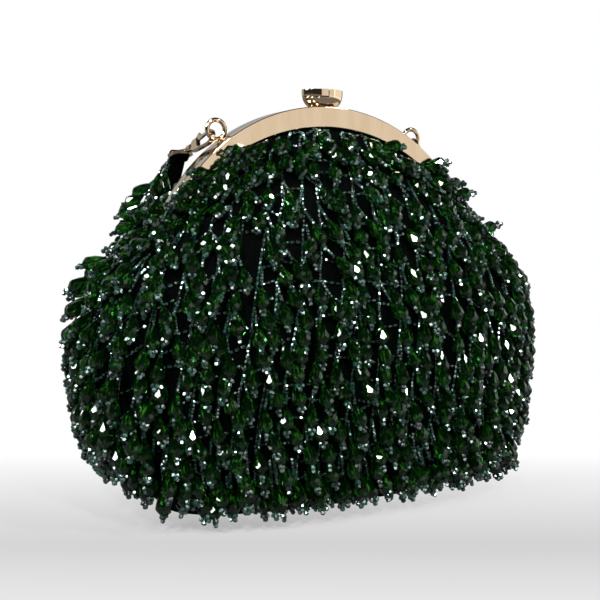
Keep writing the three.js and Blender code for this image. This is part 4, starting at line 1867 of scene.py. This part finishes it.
    def hang_edge(self, beads: BeadField, strand: Strand, length: float) -> None:
        """Hangs one strand straight down from the strap's outer edge, close to an eye.

        Args:
            beads: The field that it goes in.
            strand: The strand.
            length: Where along the strap.
        """
        seeds = int(self.chance.choice(self.edge_counts))
        along = strand.distances(strand.length(seeds))
        width = self.at(self.across, length)
        drift = self.chance.uniform(*self.edge_drift) * (1 - np.exp(-along / self.edge_bend))
        start = self.at(self.places, length) - width * (self.half_width(length) + self.edge_off)
        way = start + width * drift[:, None] - np.array([0.0, 0.0, 1.0]) * along[:, None]
        strand.thread(beads, way, seeds, self.chance)

    def hang(self, beads: BeadField, strand: Strand, length: float, across: float) -> None:
        """Hangs one strand from the strap's outside face.

        Args:
            beads: The field that it goes in.
            strand: The strand.
            length: Where along the strap.
            across: Where across the strap.
        """
        out = unit(self.at(self.outs, length))
        width = self.at(self.across, length)
        from_end = min(length, self.length - length)
        near_end = math.exp(-(((from_end - self.end_middle) / self.end_reach) ** 2))
        seeds = int(self.chance.choice(self.seed_counts)) + round(self.end_seeds * near_end)
        along = strand.distances(strand.length(seeds))
        fall = np.array([0.0, 0.0, -1.0])
        fall = unit(fall - out * min(fall @ out, 0))
        share = along / strand.length(seeds)
        first, last = self.lift
        lift = first + (last + self.end_lift * near_end) * share**self.lift_power
        lift = lift + self.chance.normal(0, self.lift_stray) * share**2
        splay = np.sign(across) * (self.splay + self.end_splay * near_end)
        aside = self.chance.normal(0, self.sway) * along + splay * share
        start = self.at(self.places, length) + width * across + out * self.thickness / 2
        side = unit(np.cross(fall, out) if abs(fall @ out) < 0.9 else width)
        way = start + fall * along[:, None] + out * lift[:, None] + side * aside[:, None]
        strand.thread(beads, way, seeds, self.chance)


# Studio


@dataclass(frozen=True)
class Lamp:
    """One soft light that looks at the bag."""

    name: str
    place: tuple[float, float, float]
    size: tuple[float, float]
    watts: float


@dataclass(frozen=True)
class Studio:
    """A pale floor, soft lights and the camera at the photograph's angle, in metres and degrees."""

    azimuth: float = -28.2
    distance: float = 0.475
    height: float = 0.1286
    pitch: float = 4.68
    aside: float = -0.0104
    focal_pixels: float = 1001.0
    image_pixels: float = 600.0
    sensor: float = 36.0
    aim: float = 0.09
    floor_radius: float = 6.0
    floor_sides: int = 96
    floor_drop: float = 0.05  # In millimetres
    floor_roughness: float = 0.85
    floor_colour: str = "#989898"
    floor_reflected: str = "#606060"
    fade_least: float = 0.35
    fade_behind: tuple[float, float] = (-0.085, 0.06)
    fade_before: tuple[float, float] = (-0.095, -0.24)
    fade_around: tuple[float, float] = (0.25, 0.8)
    glow_reflected: float = 0.2
    room_colour: str = "#cfd4da"
    room_span: tuple[float, float] = (0.45, 0.75)
    room_light: tuple[float, float] = (0.04, 0.7)
    lamps: tuple[Lamp, ...] = (
        Lamp("key_softbox", (-0.75, -0.8, 0.95), (0.16, 0.16), 10.6),
        Lamp("front_softbox", (-0.05, -1.15, 0.95), (0.12, 0.12), 6.8),
        Lamp("right_softbox", (0.7, -0.85, 0.95), (0.1, 0.1), 5.2),
        Lamp("left_softbox", (-1.1, -0.1, 0.8), (0.36, 0.36), 13.0),
        Lamp("top_softbox", (-0.3, -0.6, 1.25), (0.1, 0.1), 3.2),
        Lamp("right_card", (0.66, -1.18, 0.32), (1.3, 0.9), 3.1),
        Lamp("side_card", (1.25, -0.2, 0.35), (1.5, 0.9), 4.4),
    )

    def build(self) -> None:
        """Sets the stage."""
        self.build_floor()
        self.build_world()
        for lamp in self.lamps:
            self.add_lamp(lamp)
        self.add_camera()
        bpy.context.scene.view_settings.view_transform = "Standard"

    def build_floor(self) -> None:
        """Lays a round pale floor that fades to white behind the bag, before it and far from it."""
        deselect()
        bpy.ops.mesh.primitive_circle_add(
            vertices=self.floor_sides, radius=self.floor_radius, fill_type="NGON"
        )
        floor = start_piece("floor")
        write_points(floor, read_points(floor) - [0, 0, self.floor_drop])
        material, tree, shader = new_material("white paper sweep")
        shader.inputs["Roughness"].default_value = self.floor_roughness
        path = add_node(tree, "ShaderNodeLightPath")
        paper = ramp(
            tree,
            path.outputs["Is Camera Ray"],
            [(0.0, self.floor_reflected), (1.0, self.floor_colour)],
        )
        tree.links.new(paper, shader.inputs["Base Color"])
        where = add_node(tree, "ShaderNodeTexCoord")
        turn = math.radians(self.azimuth)
        away = add_node(
            tree,
            "ShaderNodeVectorMath",
            {0: where.outputs["Object"], 1: (-math.sin(turn), math.cos(turn), 0.0)},
            operation="DOT_PRODUCT",
        )
        far = add_node(tree, "ShaderNodeVectorMath", {0: where.outputs["Object"]}, operation="LENGTH")
        fades = [
            add_node(
                tree,
                "ShaderNodeMapRange",
                {"Value": socket, "From Min": near, "From Max": end, "To Min": first},
            ).outputs["Result"]
            for socket, (near, end), first in (
                (away.outputs["Value"], self.fade_behind, self.fade_least),
                (away.outputs["Value"], self.fade_before, self.fade_least),
                (far.outputs["Value"], self.fade_around, 0.0),
            )
        ]
        sides = add_node(tree, "ShaderNodeMath", {0: fades[0], 1: fades[1]}, operation="MAXIMUM")
        fade = add_node(
            tree, "ShaderNodeMath", {0: sides.outputs["Value"], 1: fades[2]}, operation="MAXIMUM"
        )
        glow = add_node(
            tree,
            "ShaderNodeMapRange",
            {"Value": path.outputs["Is Camera Ray"], "To Min": self.glow_reflected},
        )
        white = add_node(
            tree,
            "ShaderNodeEmission",
            {"Color": (1, 1, 1, 1), "Strength": glow.outputs["Result"]},
        )
        mixed = add_node(
            tree,
            "ShaderNodeMixShader",
            {0: fade.outputs["Value"], 1: shader.outputs["BSDF"], 2: white.outputs["Emission"]},
        )
        output = next(n for n in tree.nodes if n.type == "OUTPUT_MATERIAL")
        tree.links.new(mixed.outputs["Shader"], output.inputs["Surface"])
        floor.data.materials.append(material)

    def build_world(self) -> None:
        """Shows a white background, and lights the bag with a dimmer room."""
        world = bpy.data.worlds.new("studio")
        bpy.context.scene.world = world
        world.use_nodes = True
        tree = world.node_tree
        tree.nodes.clear()
        path = add_node(tree, "ShaderNodeLightPath")
        seen = add_node(
            tree,
            "ShaderNodeMath",
            {0: path.outputs["Is Camera Ray"], 1: path.outputs["Is Transmission Ray"]},
            operation="MAXIMUM",
        )
        where = add_node(tree, "ShaderNodeTexCoord")
        way = add_node(tree, "ShaderNodeSeparateXYZ", {"Vector": where.outputs["Generated"]})
        wall = add_node(
            tree,
            "ShaderNodeMapRange",
            {
                "Value": way.outputs["Y"],
                "From Min": self.room_span[0],
                "From Max": self.room_span[1],
                "To Min": self.room_light[0],
                "To Max": self.room_light[1],
            },
        )
        room = add_node(
            tree,
            "ShaderNodeBackground",
            {"Color": linear(self.room_colour), "Strength": wall.outputs["Result"]},
        )
        paper = add_node(tree, "ShaderNodeBackground", {"Color": (1, 1, 1, 1), "Strength": 1.0})
        mixed = add_node(
            tree,
            "ShaderNodeMixShader",
            {0: seen.outputs["Value"], 1: room.outputs["Background"], 2: paper.outputs["Background"]},
        )
        add_node(tree, "ShaderNodeOutputWorld", {"Surface": mixed.outputs["Shader"]})

    def add_lamp(self, lamp: Lamp) -> None:
        """Adds one softbox that looks at the middle of the bag."""
        data = bpy.data.lights.new(lamp.name, "AREA")
        data.shape = "RECTANGLE"
        data.size, data.size_y = lamp.size
        data.energy = lamp.watts
        light = bpy.data.objects.new(lamp.name, data)
        light.location = lamp.place
        light.rotation_mode = "QUATERNION"
        facing = Vector((0, 0, self.aim)) - light.location
        light.rotation_quaternion = facing.to_track_quat("-Z", "Y")
        bpy.context.scene.collection.objects.link(light)

    def add_camera(self) -> None:
        """Adds the camera where the photograph was taken from."""
        turn = math.radians(self.azimuth)
        back = Vector((math.sin(turn), -math.cos(turn), 0))
        right = Vector((math.cos(turn), math.sin(turn), 0))
        data = bpy.data.cameras.new("camera")
        data.sensor_width = self.sensor
        data.lens = data.sensor_width * self.focal_pixels / self.image_pixels
        camera = bpy.data.objects.new("camera", data)
        camera.location = back * self.distance + right * self.aside + Vector((0, 0, self.height))
        tilt = Matrix.Rotation(math.radians(90 - self.pitch), 4, "X")
        heading = Matrix.Rotation(turn, 4, "Z")
        camera.rotation_mode = "QUATERNION"
        camera.rotation_quaternion = (heading @ tilt).to_quaternion()
        bpy.context.scene.collection.objects.link(camera)
        bpy.context.scene.camera = camera


def main() -> None:
    """Builds the purse piece by piece."""
    logging.basicConfig(level=logging.INFO, format="%(message)s")
    cloth = SatinCloth().material()
    seed_glass = SeedGlass().material()
    drop_glass = CutGlass().material()
    gold = GoldPlate().material()
    form = PouchForm()
    Pouch(form).build(cloth)
    shapes = {
        Bead.FINE: SeedBead(diameter=1.7, length=1.25, mouth=0.78).model(),
        Bead.ROUND: SeedBead(diameter=2.15, length=1.8, mouth=0.7).model(),
        Bead.TUBE: SeedBead(diameter=1.6, length=1.9, mouth=0.68).model(),
        Bead.DROP: GlassDrop().model(),
    }
    arch = PurseFrame()
    beading = Beading(form, shapes)
    beading.build_fringe(arch, [seed_glass, drop_glass])
    beading.build_net([seed_glass])
    arch.build(gold)
    KissLock().build(gold)
    Clasps().build(gold)
    Handle(shapes).build(cloth, [seed_glass, drop_glass])
    Studio().build()


if __name__ == "__main__":
    main()
